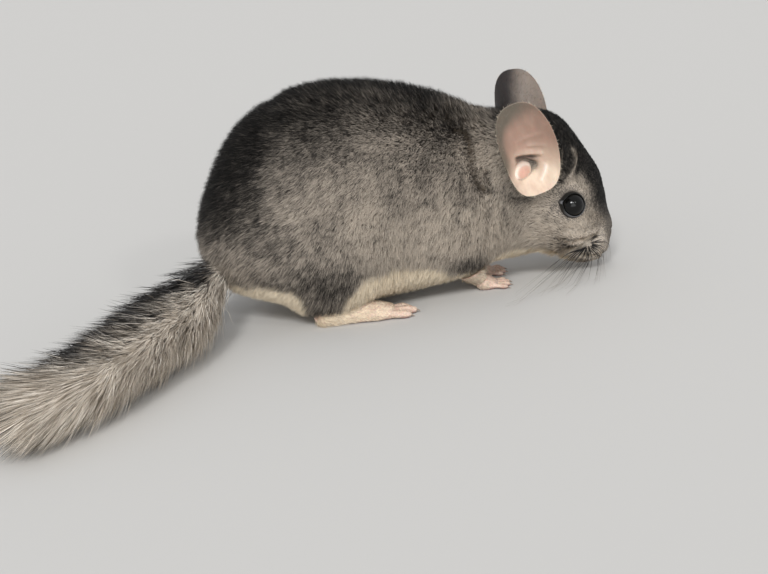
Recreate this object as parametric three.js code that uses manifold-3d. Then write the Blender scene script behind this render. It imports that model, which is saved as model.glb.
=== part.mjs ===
// A life-size grey chinchilla, crouched low on all fours with its nose to the ground and its brush laid out behind it.
// Millimetres. +X points to the nose, +Y to the animal's left and +Z up from the floor it stands on.
// The body is one smooth form, the blend of a few ellipsoids, and thin cuts part it into torso, neck, head and haunches.
import * as THREE from "three";
import { mergeVertices } from "three/addons/utils/BufferGeometryUtils.js";
import Module from "manifold-3d";

const wasm = await Module();
wasm.setup();

// Driving dimensions
const gap = 0.3; // between solids that meet
const noseX = 115; // foremost point of the muzzle
const rumpX = -89.5; // rearmost point of the rump
const backHeight = 113; // top of the back over the floor
const haunchHalfWidth = 50;
const bellyClearance = 5; // under the chest and belly
const eyeRadius = 5.9;
const earHeight = 46.5;
const earWidth = 28.5;
const earThickness = 1.3;
const brushRadius = 19; // of the tail, out to the tips of its coat

const furGrey = 0x6f6c6a;
const faceGrey = 0x7d7975;
const brushGrey = 0x8a8178;
const earPink = 0xb79d92;
const pawPink = 0xc4a596;
const eyeBlack = 0x0b0a0a;

// Vectors are plain arrays of three numbers.
const add = (a, b, by = 1) => [a[0] + b[0] * by, a[1] + b[1] * by, a[2] + b[2] * by];
const times = (a, by) => [a[0] * by, a[1] * by, a[2] * by];
const cross = (a, b) => [
  a[1] * b[2] - a[2] * b[1],
  a[2] * b[0] - a[0] * b[2],
  a[0] * b[1] - a[1] * b[0],
];
const unit = (a) => times(a, 1 / Math.hypot(...a));
const radians = THREE.MathUtils.degToRad;
const mix = THREE.MathUtils.lerp;
const smooth = THREE.MathUtils.smoothstep;

// Forms: each is a function of a point, negative inside and about the distance to the surface outside.
// pitch turns an ellipsoid about Y, and a positive one lifts its nose end.
function ellipsoid([cx, cy, cz], [rx, ry, rz], pitch = 0) {
  const c = Math.cos(radians(pitch));
  const s = Math.sin(radians(pitch));
  return (p) => {
    const dx = p[0] - cx;
    const dz = p[2] - cz;
    const x = (dx * c + dz * s) / rx;
    const y = (p[1] - cy) / ry;
    const z = (dz * c - dx * s) / rz;
    const k = Math.hypot(x, y, z);
    return k * (k - 1) / (Math.hypot(x / rx, y / ry, z / rz) + 1e-9);
  };
}

function bothSides([cx, cy, cz], radii, pitch) {
  return [ellipsoid([cx, cy, cz], radii, pitch), ellipsoid([cx, -cy, cz], radii, pitch)];
}

function blend(softness, fields) {
  return (p) => {
    let nearest = fields[0](p);
    for (let i = 1; i < fields.length; i++) {
      const d = fields[i](p);
      const h = Math.max(softness - Math.abs(nearest - d), 0) / softness;
      nearest = Math.min(nearest, d) - (h * h * softness) / 4;
    }
    return nearest;
  };
}

const grown = (field, by) => (p) => field(p) - by;

// The trunk: rump, arched back, belly, chest, and the bulge of each thigh and shoulder
const trunk = blend(13, [
  ellipsoid([rumpX + 44, 0, 41], [44, 43, 34]),
  ellipsoid([-17, 0, backHeight - 54.5], [63, 44, 54.5]),
  ellipsoid([16, 0, 55.5], [54.5, 38, 48.5]),
  ellipsoid([2, 0, 32], [58, 36, 32 - bellyClearance]),
  ...bothSides([-24, haunchHalfWidth - 21, 37], [36, 20, 29]),
  ...bothSides([38, 20, 40], [22, 14, 28]),
]);

// The neck and head: braincase, face, cheeks, jaw and muzzle with a whisker pad on each side of the nose
const headForm = blend(7, [
  ellipsoid([64, 0, 49], [27, 25.5, 39]),
  ellipsoid([80, 0, 57], [24.5, 22.5, 28.5]),
  ellipsoid([93, 0, 40], [20.5, 18, 25.5]),
  ...bothSides([86, 12.5, 29], [19, 12.5, 17]),
  ellipsoid([noseX - 13.5, 0, 24], [12.5, 12, 15.5]),
  ellipsoid([noseX - 5, 0, 20.5], [4.6, 5, 5]),
  ...bothSides([noseX - 10, 6.4, 13.4], [6.6, 6.6, 6.6]),
  ellipsoid([noseX - 18, 0, 11], [10, 8, 8]),
]);

const animal = blend(12, [trunk, headForm]);

// How far out from an inside point, along a direction, the form's surface lies
function surfaceAlong(field, origin, direction) {
  const stride = 1.5;
  let outer = stride;
  while (field(add(origin, direction, outer)) < 0) outer += stride;
  let inner = outer - stride;
  for (let halving = 0; halving < 16; halving++) {
    const middle = (inner + outer) / 2;
    if (field(add(origin, direction, middle)) < 0) inner = middle;
    else outer = middle;
  }
  return add(origin, direction, outer);
}

// Stations along the body: x, z and pitch in degrees of the plane that each ring of points lies in
const bodyLine = new THREE.CatmullRomCurve3([
  new THREE.Vector3(rumpX + 48, 48, 0),
  new THREE.Vector3(-10, 56, 0),
  new THREE.Vector3(30, 54, 0),
  new THREE.Vector3(54, 51, 2),
  new THREE.Vector3(70, 49, 3),
  new THREE.Vector3(83, 45, -8),
  new THREE.Vector3(92, 38, -18),
  new THREE.Vector3(98, 30, -27),
  new THREE.Vector3(noseX - 14, 23, -33),
]);

// lean is 0 in the ring's own plane, and reaches 90 at a pole ahead of it or behind it.
function ringDirection(pitch, lean, turn) {
  const along = [Math.cos(pitch), 0, Math.sin(pitch)];
  const up = [-Math.sin(pitch), 0, Math.cos(pitch)];
  const out = [
    up[0] * Math.cos(turn),
    Math.sin(turn),
    up[2] * Math.cos(turn),
  ];
  return add(times(out, Math.cos(lean)), along, Math.sin(lean));
}

// A closed mesh from rings of points, with a single point at each end
function closedMesh(firstPole, rings, lastPole) {
  const points = [firstPole, ...rings.flat(), lastPole];
  const count = rings[0].length;
  const at = (ring, i) => 1 + ring * count + (i % count);
  const last = points.length - 1;
  const faces = [];
  for (let i = 0; i < count; i++) {
    faces.push(0, at(0, i), at(0, i + 1));
    faces.push(last, at(rings.length - 1, i + 1), at(rings.length - 1, i));
    for (let ring = 0; ring < rings.length - 1; ring++) {
      faces.push(at(ring, i), at(ring + 1, i), at(ring + 1, i + 1));
      faces.push(at(ring, i), at(ring + 1, i + 1), at(ring, i + 1));
    }
  }
  return solidOf(points.flat(), faces);
}

function solidOf(vertices, triangles) {
  const geometry = new THREE.BufferGeometry();
  geometry.setAttribute("position", new THREE.Float32BufferAttribute(vertices, 3));
  geometry.setIndex(triangles);
  return solidFromGeometry(geometry);
}

function solidFromGeometry(geometry) {
  const bare = new THREE.BufferGeometry();
  bare.setAttribute("position", geometry.getAttribute("position"));
  bare.setIndex(geometry.index);
  const merged = mergeVertices(bare, 1e-4);
  const vertProperties = merged.attributes.position.array;
  const triVerts = new Uint32Array(merged.index.array);
  const solid = new wasm.Manifold(new wasm.Mesh({ numProp: 3, vertProperties, triVerts }));
  if (solid.volume() > 0) return solid;
  for (let i = 0; i < triVerts.length; i += 3) {
    [triVerts[i + 1], triVerts[i + 2]] = [triVerts[i + 2], triVerts[i + 1]];
  }
  return new wasm.Manifold(new wasm.Mesh({ numProp: 3, vertProperties, triVerts }));
}

const fuse = (solids) => solids.reduce((all, one) => all.add(one));
const cutAway = (solid, cutters) => cutters.reduce((left, one) => left.subtract(one), solid);

// Wraps the form between two places on the body line; an end at 0 or 1 is closed by a dome, any other by a flat.
function wrapped(field, from, to, ringCount, segments, domeSteps) {
  const rings = [];
  const ringAt = (place, lean) => {
    const station = bodyLine.getPointAt(place);
    const origin = [station.x, 0, station.y];
    return Array.from({ length: segments }, (_, i) => {
      const turn = (2 * Math.PI * i) / segments;
      return surfaceAlong(field, origin, ringDirection(radians(station.z), lean, turn));
    });
  };
  const centreAt = (place) => {
    const station = bodyLine.getPointAt(place);
    return [station.x, 0, station.y];
  };
  const poleAt = (place, lean) => {
    const station = bodyLine.getPointAt(place);
    return surfaceAlong(field, centreAt(place), ringDirection(radians(station.z), lean, 0));
  };
  const quarter = Math.PI / 2;
  for (let i = domeSteps - 1; from === 0 && i > 0; i--) {
    rings.push(ringAt(0, (-quarter * i) / domeSteps));
  }
  for (let i = 0; i < ringCount; i++) rings.push(ringAt(mix(from, to, i / (ringCount - 1)), 0));
  for (let i = 1; to === 1 && i < domeSteps; i++) rings.push(ringAt(1, (quarter * i) / domeSteps));
  const firstPole = from === 0 ? poleAt(0, -quarter) : centreAt(from);
  const lastPole = to === 1 ? poleAt(1, quarter) : centreAt(to);
  return closedMesh(firstPole, rings, lastPole);
}

const neckStarts = 0.54; // shares of the body line
const headStarts = 0.63;
const lineGap = gap / bodyLine.getLength();

function scaledSphere([x, y, z], radii, across = 24, down = 16) {
  return solidFromGeometry(
    new THREE.SphereGeometry(1, across, down).scale(...radii).translate(x, y, z),
  );
}

// Haunches: the thigh's part of the body, bounded by a rounded cut
function haunchRegion(side, by) {
  const centre = [-26, side * (haunchHalfWidth + 4), 33];
  return scaledSphere(centre, [38 + by, 33 + by, 33 + by], 28, 18);
}

// Tubes along a line of stations, each an upright oval with its own half width and half height
function oval({ at, half }, along, segments, floor) {
  const side = unit(cross([0, 0, 1], along));
  const up = unit(cross(along, side));
  return Array.from({ length: segments }, (_, i) => {
    const turn = (2 * Math.PI * i) / segments;
    const across = add(times(side, half[0] * Math.cos(turn)), up, half[1] * Math.sin(turn));
    const point = add(at, across);
    return [point[0], point[1], Math.max(point[2], floor)];
  });
}

function tube(stations, segments, floor = -Infinity) {
  const rings = stations.map((station, i) => {
    const before = stations[Math.max(i - 1, 0)].at;
    const after = stations[Math.min(i + 1, stations.length - 1)].at;
    return oval(station, unit(add(after, before, -1)), segments, floor);
  });
  const end = (i) => {
    const { at } = stations[i];
    return [at[0], at[1], Math.max(at[2], floor)];
  };
  return closedMesh(end(0), rings, end(stations.length - 1));
}

// A digit: a rounded toe with its underside flat on the floor, and a small blunt claw
function digit(root, heading, length, radius, clawLength) {
  const along = [Math.cos(heading), Math.sin(heading), 0];
  const profile = [
    [-0.4, 0.9, 1.3],
    [0.45, 0.86, 1],
    [0.75, 1, 0.9],
    [1, 0.5, 0.6],
  ];
  const stations = profile.map(([share, size, height]) => {
    const foot = add(root, along, length * share);
    return { at: [foot[0], foot[1], radius * height], half: [radius * size, radius * size] };
  });
  const toe = tube(stations, 6, 0);
  const clawRoot = add([root[0], root[1], radius * 0.95], along, length * 0.85);
  const claw = tube(
    [
      { at: clawRoot, half: [0.6 * radius, 0.6 * radius] },
      { at: add(clawRoot, along, clawLength * 0.6), half: [0.42 * radius, 0.45 * radius] },
      {
        at: add(add(clawRoot, along, clawLength), [0, 0, -0.45 * radius]),
        half: [0.14 * radius, 0.16 * radius],
      },
    ],
    4,
  );
  return toe.add(claw);
}

// Hind feet: a long flat sole under the thigh, three long toes and a short inner one
const hindFoot = { length: 34, width: 13, toeX: -1, y: 31.5, height: 9 };
function hindPaw(side) {
  const { length, width, toeX, y, height } = hindFoot;
  const heelX = toeX - length;
  const station = (x, halfWidth, halfHeight, dy = 0) => ({
    at: [x, side * (y + dy), halfHeight * 0.62],
    half: [halfWidth, halfHeight],
  });
  const sole = tube(
    [
      station(heelX, width * 0.16, height * 0.3, -1.5),
      station(heelX + 2, width * 0.33, height * 0.55, -1.5),
      station(heelX + 9, width * 0.42, height * 0.78, -1.2),
      station(heelX + 20, width * 0.43, height * 0.68, -0.6),
      station(toeX - 4, width * 0.5, height * 0.58),
      station(toeX + 1.5, width * 0.46, height * 0.45),
      station(toeX + 3.5, width * 0.3, height * 0.3),
    ],
    12,
    0,
  );
  const toes = [
    { dy: -3.9, dx: -0.5, splay: -7, length: 11.5, radius: 2.35 },
    { dy: 0, dx: 1, splay: 1, length: 13, radius: 2.5 },
    { dy: 3.9, dx: -0.5, splay: 9, length: 11.5, radius: 2.35 },
    { dy: -6.1, dx: -9, splay: -14, length: 7.5, radius: 1.7 },
  ].map(({ dy, dx, splay, length: toeLength, radius }) =>
    digit([toeX + dx, side * (y + dy), 0], side * radians(splay), toeLength, radius, 2.6),
  );
  return fuse([sole, ...toes]);
}

// Forepaws: a small palm with four slender fingers and a stub of a thumb, under the chest
const forePaw = { x: 50, y: 10, palm: 5.2, height: 5.4 };
function handPaw(side) {
  const { x, y, palm, height } = forePaw;
  const station = (dx, halfWidth, halfHeight) => ({
    at: [x + dx, side * y, halfHeight * 0.6],
    half: [halfWidth, halfHeight],
  });
  const hand = tube(
    [
      station(-5, palm * 0.5, height * 0.45),
      station(-3.6, palm * 0.82, height * 0.8),
      station(0, palm, height * 0.8),
      station(3, palm * 0.92, height * 0.55),
      station(4.6, palm * 0.6, height * 0.35),
    ],
    10,
    0,
  );
  const fingers = [-3.6, -1.2, 1.2, 3.6].map((dy) => {
    const middle = 1 - Math.abs(dy) / 14;
    const splay = dy * 6;
    return digit([x + 3.4, side * (y + dy), 0], side * radians(splay), 8.4 * middle, 1.55, 1.8);
  });
  const thumb = digit([x + 0.5, side * (y - 4.4), 0], side * radians(-35), 3.6, 1.2, 0.9);
  return fuse([hand, ...fingers, thumb]);
}

// Forelegs: a short furred forearm from the chest down to each forepaw
function foreLeg(side, by) {
  return tube(
    [
      { at: [36, side * 13.5, 26], half: [8 + by, 10 + by] },
      { at: [40, side * 12.5, 15], half: [7.5 + by, 8.5 + by] },
      { at: [43.5, side * 11.3, 9.5], half: [6 + by, 6 + by] },
      { at: [46.4, side * 10.4, 6], half: [4.6 + by, 4.2 + by] },
      { at: [47.6 + by, side * 10.1, 4.9], half: [3.4 + by, 3 + by] },
    ],
    12,
    1.2 - by,
  );
}

// Where the skin lies on one side at a given place along the head, and which way it faces there
function skinBeside(x, z, side) {
  const point = surfaceAlong(animal, [x, 0, z], [0, side, 0]);
  return { point, normal: skinNormal(point) };
}

function skinNormal(point) {
  const step = 0.5;
  const slope = [0, 1, 2].map((axis) => {
    const offset = [0, 0, 0];
    offset[axis] = step;
    return animal(add(point, offset)) - animal(add(point, offset, -1));
  });
  return unit(slope);
}

// Eyes, set deep enough in the face that a round black window of each shows, with a rim of lid about it
const eye = { x: 95.4, z: 39.9, setBack: 3.2, lidRadius: 5.3, lidHalf: 1 };

function eyeball(side, by) {
  const { point, normal } = skinBeside(eye.x, eye.z, side);
  const radius = eyeRadius + by;
  return scaledSphere(add(point, normal, -eye.setBack), [radius, radius, radius], 16, 10);
}

function turnedTo(geometry, normal, upHint = [0, 0, 1]) {
  const n = unit(normal);
  const across = unit(cross(upHint, n));
  const up = cross(n, across);
  const basis = new THREE.Matrix4().makeBasis(
    new THREE.Vector3(...across),
    new THREE.Vector3(...up),
    new THREE.Vector3(...n),
  );
  return geometry.applyMatrix4(basis);
}

function eyelids(side) {
  const rim = new THREE.TorusGeometry(eye.lidRadius, eye.lidHalf, 6, 18).scale(1.04, 0.97, 1);
  const { point, normal } = skinBeside(eye.x, eye.z, side);
  return solidFromGeometry(turnedTo(rim, normal).translate(...add(point, normal, 0.15)));
}

// Nostrils: a slanting slit on each side of the tip of the nose
function nostril(side) {
  const slit = new THREE.SphereGeometry(1, 9, 7).scale(1.9, 0.75, 1.4);
  const skin = surfaceAlong(animal, [noseX - 14, side * 2.9, 20], [1, 0, 0]);
  slit.rotateX(side * 0.5);
  return solidFromGeometry(turnedTo(slit, skinNormal(skin)).translate(...skin));
}

// Mouth: a line round under the whisker pads with a lip above and below it, and a cleft up to the nose
const mouth = {
  z: 8,
  centreX: noseX - 15,
  reach: 60, // degrees to each side of the middle
  lipRise: 1.3,
  lipInset: 1.1,
  lipHalf: [1.25, 1.2],
  lineHalf: [1.3, 0.5],
};

function aroundMuzzle(z, inset, half, tapering) {
  const count = 7;
  const stations = Array.from({ length: count }, (_, i) => {
    const turn = radians(mix(-mouth.reach, mouth.reach, i / (count - 1)));
    const direction = [Math.cos(turn), Math.sin(turn), 0];
    const skin = surfaceAlong(animal, [mouth.centreX, 0, z], direction);
    const end = i === 0 || i === count - 1;
    const size = end ? tapering : 1;
    return { at: add(skin, direction, -inset), half: times(half, size) };
  });
  return tube(stations, 6);
}

function cleft() {
  const skin = surfaceAlong(animal, [mouth.centreX, 0, mouth.z + 5], [1, 0, 0]);
  const slit = new THREE.SphereGeometry(1, 8, 8).scale(1, 0.5, 5.4);
  return solidFromGeometry(slit.translate(...skin));
}

// Ears: each a broad, round cup of thin skin, deepest low down by the ear's opening, with the lobe that guards it
// forward tells which way round an ear's front edge lies, seen from outside.
const ears = {
  right: {
    centre: [73.8, -30, 73.5],
    up: [-0.2, -0.2, 0.96],
    facing: [0.12, -0.98, -0.12],
    forward: 1,
  },
  left: {
    centre: [77.4, 26.5, 75.3],
    up: [0.03, 0.22, 0.97],
    facing: [0.42, 0.9, -0.12],
    forward: -1,
  },
};
const cup = {
  depth: 10,
  focus: -0.42, // of half the height, below the middle
  rimLevel: 0.62, // share of the depth that lies behind the ear's centre
  topLean: 2.5, // how far the tip of the ear leans back
  squareness: 0.2, // of the outline, and more so in its lower half
  lowerSquareness: 0.15,
  rearTuck: 0.13, // how much narrower the ear is behind its middle than before it
};

function earAxes({ up, facing }) {
  const out = unit(facing);
  const across = unit(cross(up, out));
  return { up: cross(out, across), across, out };
}

function earPoint(ear, share, turn, lift) {
  const { up, across, out } = earAxes(ear);
  const low = smooth(-Math.cos(turn), 0, 1);
  const swing = Math.sin(turn);
  const rear = Math.max(-swing * ear.forward, 0);
  const power = 1 - cup.squareness - cup.lowerSquareness * low;
  const spread = Math.sign(swing) * Math.abs(swing) ** power;
  const wide = (earWidth / 2) * share * spread * (1 - cup.rearTuck * rear * rear);
  const high = (earHeight / 2) * mix(cup.focus, Math.cos(turn), share);
  const lean = cup.topLean * share * Math.max(Math.cos(turn), 0);
  const deep = cup.depth * (share ** 2.2 - cup.rimLevel) - lean;
  return add(add(add(ear.centre, across, wide), up, high), out, deep + lift);
}

function earCup(ear) {
  const segments = 24;
  const shares = [0.2, 0.45, 0.7, 0.9, 1];
  const ring = (share, lift) =>
    Array.from({ length: segments }, (_, i) =>
      earPoint(ear, share, (2 * Math.PI * i) / segments, lift),
    );
  const half = earThickness / 2;
  const inner = shares.map((share) => ring(share, share === 1 ? half * 0.45 : half));
  const outer = shares.map((share) => ring(share, share === 1 ? -half * 0.45 : -half)).reverse();
  return closedMesh(earPoint(ear, 0, 0, half), [...inner, ...outer], earPoint(ear, 0, 0, -half));
}

// The ear's stout base, under the deepest part of its cup
const earBase = { radii: [8.5, 10, 9], behind: 9.4, below: 2 };

function earRoot(ear) {
  const { out, up } = earAxes(ear);
  const root = new THREE.SphereGeometry(1, 12, 8).scale(...earBase.radii);
  const at = add(add(earPoint(ear, 0, 0, 0), out, -earBase.behind), up, -earBase.below);
  return solidFromGeometry(turnedTo(root, out, up).translate(...at));
}

const earGuard = { radii: [3.2, 5.4, 2.4], share: 0.42, turn: 2.2 };

function earLobe(ear) {
  const { out, up } = earAxes(ear);
  const lobe = new THREE.SphereGeometry(1, 10, 7).scale(...earGuard.radii);
  const at = earPoint(ear, earGuard.share, -ear.forward * earGuard.turn, 0.2);
  return solidFromGeometry(turnedTo(lobe, out, up).translate(...at));
}

// The tail: a fleshy core laid back and to the animal's right, with coarse locks that lie along it in rows
const tailLine = new THREE.CatmullRomCurve3([
  new THREE.Vector3(-70, -3, 29),
  new THREE.Vector3(-82, -16, 26),
  new THREE.Vector3(-93, -40, 21),
  new THREE.Vector3(-104, -62, 19.5),
  new THREE.Vector3(-118, -87, 18.5),
  new THREE.Vector3(-132, -109, 18),
  new THREE.Vector3(-147, -125, 17.5),
]);
const tailLength = tailLine.getLength();

const coreRadius = (share) => mix(8.8, 6.4, share) * Math.sqrt(1 - smooth(share, 0.9, 1.06));
const rowRadius = (share) => mix(0.68, 1, smooth(share, 0, 0.35)) * brushRadius;

function tailCore() {
  const count = 9;
  const stations = Array.from({ length: count }, (_, i) => {
    const share = i / (count - 1);
    const at = tailLine.getPointAt(share).toArray();
    const radius = coreRadius(share);
    return { at, half: [radius, radius] };
  });
  return tube(stations, 10);
}

// A small seeded generator, so that every run grows the same coat
function seeded(seed) {
  let state = seed;
  return () => {
    state = (state * 1664525 + 1013904223) % 4294967296;
    return state / 4294967296;
  };
}

// A flat, tapered lock: path is its middle line, with a thin four-sided ring across it at every point but the last
function lock(path, across, width, thickness) {
  const taper = [0.75, 1, 0.8];
  const rings = taper.map((size, i) => {
    const ahead = unit(add(path[i + 1], path[Math.max(i - 1, 0)], -1));
    const normal = unit(cross(ahead, across));
    const side = cross(normal, ahead);
    const w = (width / 2) * size;
    const t = thickness / 2;
    return [
      add(path[i], side, w),
      add(path[i], normal, t),
      add(path[i], side, -w),
      add(path[i], normal, -t),
    ];
  });
  return closedMesh(path[0], rings, path[path.length - 1]);
}

const brush = {
  rows: 7,
  around: 7,
  firstRow: 0.13, // share of the tail where the locks begin
  lastRow: 0.97,
  lockLength: 44,
  lockWidth: 13.5,
  thickness: 1.9,
  sink: 3.5, // of each root into the core
  rise: 1.7, // how soon a lock reaches the brush's outline
  droop: 0.35, // of the locks past the end of the core
  drift: 4,
  seed: 6,
};

// A lock's middle line: it leaves the core, rises to the brush's outline and bends on along the tail
function lockPath(share, turn, length, reach, drift) {
  const base = coreRadius(share) - brush.sink;
  return [0, 0.3, 0.66, 1].map((s) => {
    const place = share + ((length * s) / tailLength) * 0.9;
    const beyond = Math.max(place - 1, 0) * tailLength;
    const along = tailLine.getTangentAt(Math.min(place, 1)).toArray();
    const side = unit(cross([0, 0, 1], along));
    const up = cross(along, side);
    const out = add(times(side, Math.cos(turn)), up, Math.sin(turn));
    const round = add(times(side, -Math.sin(turn)), up, Math.cos(turn));
    const centre = add(tailLine.getPointAt(Math.min(place, 1)).toArray(), along, beyond);
    const height = base + (reach - base) * (1 - (1 - s) ** brush.rise) - brush.droop * beyond;
    const point = add(add(centre, out, height), round, drift * s);
    return [point[0], point[1], Math.max(point[2], 0.4 + s)];
  });
}

function tailLocks() {
  const random = seeded(brush.seed);
  const locks = [];
  for (let row = 0; row < brush.rows; row++) {
    const share = mix(brush.firstRow, brush.lastRow, row / (brush.rows - 1));
    const along = tailLine.getTangentAt(share).toArray();
    const side = unit(cross([0, 0, 1], along));
    const up = cross(along, side);
    for (let i = 0; i < brush.around; i++) {
      const turn = ((i + (row % 2) / 2 + 0.25 * (random() - 0.5)) * 2 * Math.PI) / brush.around;
      const across = add(times(side, -Math.sin(turn)), up, Math.cos(turn));
      const fullness = mix(0.75, 1, smooth(share, 0, 0.3));
      const length = brush.lockLength * fullness * mix(0.88, 1.1, random());
      const reach = rowRadius(share) * mix(0.92, 1.04, random());
      const path = lockPath(share, turn, length, reach, (random() - 0.5) * brush.drift);
      locks.push(lock(path, across, brush.lockWidth * mix(0.9, 1.1, random()), brush.thickness));
    }
  }
  return locks;
}

const underFloor = solidFromGeometry(new THREE.BoxGeometry(600, 600, 40).translate(0, 0, -20));

function largest(solid) {
  return solid.decompose().reduce((best, one) => (one.volume() > best.volume() ? one : best));
}

const trunkRings = 12;
const headRings = 14;
const around = 28;
const domeRings = 6;

function trunkPart(field) {
  return wrapped(field, 0, neckStarts, trunkRings, around, domeRings);
}

function neckPart(field, inset) {
  return wrapped(field, neckStarts + inset, headStarts - inset, 3, around, domeRings);
}

function headPart(field) {
  return wrapped(field, headStarts, 1, headRings, around, domeRings);
}

function buildSolids() {
  const trunkWhole = trunkPart(animal);
  const swollen = grown(animal, gap);
  const clearance = fuse([trunkPart(swollen), neckPart(swollen, 0), headPart(swollen)]);
  const solids = {};
  for (const [name, side] of Object.entries({ right: -1, left: 1 })) {
    solids[`haunch_${name}`] = trunkWhole.intersect(haunchRegion(side, -gap / 2));
    solids[`hind_foot_${name}`] = cutAway(hindPaw(side), [clearance]);
    solids[`foreleg_${name}`] = cutAway(foreLeg(side, 0), [clearance]);
    solids[`forepaw_${name}`] = cutAway(handPaw(side), [clearance, foreLeg(side, 2 * gap)]);
    solids[`eye_${name}`] = eyeball(side, 0);
    const ear = ears[name];
    solids[`ear_${name}`] = cutAway(fuse([earCup(ear), earRoot(ear), earLobe(ear)]), [clearance]);
  }
  solids.torso = cutAway(trunkWhole, [haunchRegion(1, gap / 2), haunchRegion(-1, gap / 2)]);
  solids.neck = neckPart(animal, lineGap);
  const { lipRise, lipInset, lipHalf, lineHalf } = mouth;
  const lips = [lipRise, -lipRise].map((dz) => aroundMuzzle(mouth.z + dz, lipInset, lipHalf, 0.3));
  const face = fuse([headPart(animal), eyelids(1), eyelids(-1), ...lips]);
  const mouthLine = aroundMuzzle(mouth.z, 0, lineHalf, 0.5);
  const openings = [nostril(1), nostril(-1), mouthLine, cleft()];
  solids.head = cutAway(face, [eyeball(1, gap), eyeball(-1, gap), ...openings]);
  solids.tail = cutAway(fuse([tailCore(), ...tailLocks()]), [clearance, underFloor]);
  return solids;
}

const colours = {
  torso: furGrey,
  neck: furGrey,
  haunch: furGrey,
  foreleg: furGrey,
  head: faceGrey,
  tail: brushGrey,
  ear: earPink,
  hind: pawPink,
  forepaw: pawPink,
  eye: eyeBlack,
};

function meshOf(name, solid) {
  const { numProp, numVert, vertProperties, triVerts } = largest(solid).getMesh();
  const geometry = new THREE.BufferGeometry();
  const positions = new Float32Array(numVert * 3);
  for (let i = 0; i < numVert; i++) {
    positions.set(vertProperties.subarray(i * numProp, i * numProp + 3), i * 3);
  }
  geometry.setAttribute("position", new THREE.BufferAttribute(positions, 3));
  geometry.setIndex(new THREE.BufferAttribute(triVerts, 1));
  geometry.computeVertexNormals();
  const isEye = name.startsWith("eye");
  const material = new THREE.MeshStandardMaterial({
    color: colours[name.split("_")[0]],
    roughness: isEye ? 0.08 : 0.9,
    metalness: 0,
  });
  const mesh = new THREE.Mesh(geometry, material);
  mesh.name = name;
  return mesh;
}

// The finished animal, moved so that the origin is on the floor under the middle of its bounding box
const chinchilla = new THREE.Group();
for (const [name, solid] of Object.entries(buildSolids())) chinchilla.add(meshOf(name, solid));
const bounds = new THREE.Box3().setFromObject(chinchilla);
const middle = bounds.getCenter(new THREE.Vector3());
chinchilla.position.set(-middle.x, -middle.y, -bounds.min.z);

export default chinchilla;
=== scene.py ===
# A life-size grey chinchilla crouched with its nose to the floor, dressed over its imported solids.
# Shapes are worked out in millimetres from a point on the floor under the body, with +X to the nose,
# -Y to the side that the camera sees and +Z up, and go into Blender in metres.
import itertools
import math

import bpy
import numpy as np
from mathutils import Matrix, Vector
from mathutils.bvhtree import BVHTree
from mathutils.kdtree import KDTree


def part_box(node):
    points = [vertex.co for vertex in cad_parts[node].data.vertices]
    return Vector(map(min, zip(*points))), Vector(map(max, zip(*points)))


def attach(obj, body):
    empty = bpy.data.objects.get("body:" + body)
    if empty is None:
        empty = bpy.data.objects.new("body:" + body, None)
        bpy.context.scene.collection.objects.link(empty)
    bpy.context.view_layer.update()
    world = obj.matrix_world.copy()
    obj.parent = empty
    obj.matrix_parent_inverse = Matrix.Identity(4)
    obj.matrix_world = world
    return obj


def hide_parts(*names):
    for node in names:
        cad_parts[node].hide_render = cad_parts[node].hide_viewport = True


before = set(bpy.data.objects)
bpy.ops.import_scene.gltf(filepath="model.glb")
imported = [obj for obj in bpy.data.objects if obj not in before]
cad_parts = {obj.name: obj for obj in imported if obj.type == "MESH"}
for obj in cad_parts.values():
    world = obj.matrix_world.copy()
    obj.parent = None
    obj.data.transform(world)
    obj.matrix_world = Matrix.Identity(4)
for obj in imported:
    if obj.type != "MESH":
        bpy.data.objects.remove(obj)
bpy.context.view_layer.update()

sides = {"right": -1, "left": 1}
noseReach = 115.99  # from the working origin to the tip of the muzzle's solid
mouthZ = 8.0

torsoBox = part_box("torso")
origin = np.array([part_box("head")[1].x - noseReach / 1000, (torsoBox[0].y + torsoBox[1].y) / 2, 0])


def toFrame(points):
    return np.asarray(points, float) / 1000 + origin


def fromFrame(points):
    return (np.asarray(points, float) - origin) * 1000


def nodePoints(name):
    flat = np.zeros(len(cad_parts[name].data.vertices) * 3)
    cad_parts[name].data.vertices.foreach_get("co", flat)
    return fromFrame(flat.reshape(-1, 3))


def unit(vectors):
    return vectors / np.maximum(np.linalg.norm(vectors, axis=-1, keepdims=True), 1e-9)


def ramp(values, low, high):
    share = np.clip((np.asarray(values, float) - low) / (high - low), 0, 1)
    return share * share * (3 - 2 * share)


def hump(distance, width):
    return np.exp(-((np.asarray(distance) / width) ** 2))


hashPrimes = (73856093, 19349663, 83492791)
noiseTable = 4096


def valueNoise(points, size, seed):
    # smooth noise from -1 to 1 whose lumps are about size across
    table = np.random.default_rng(seed).uniform(-1, 1, noiseTable)
    scaled = points / np.asarray(size, float)
    base = np.floor(scaled).astype(np.int64)
    part = scaled - base
    part = part * part * (3 - 2 * part)
    total = np.zeros(points.shape[:-1])
    for corner in itertools.product((0, 1), repeat=3):
        cell = base + corner
        spot = np.bitwise_xor.reduce(cell * hashPrimes, axis=-1)
        weight = np.prod(np.where(corner, part, 1 - part), axis=-1)
        total += table[spot % noiseTable] * weight
    return total


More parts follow.
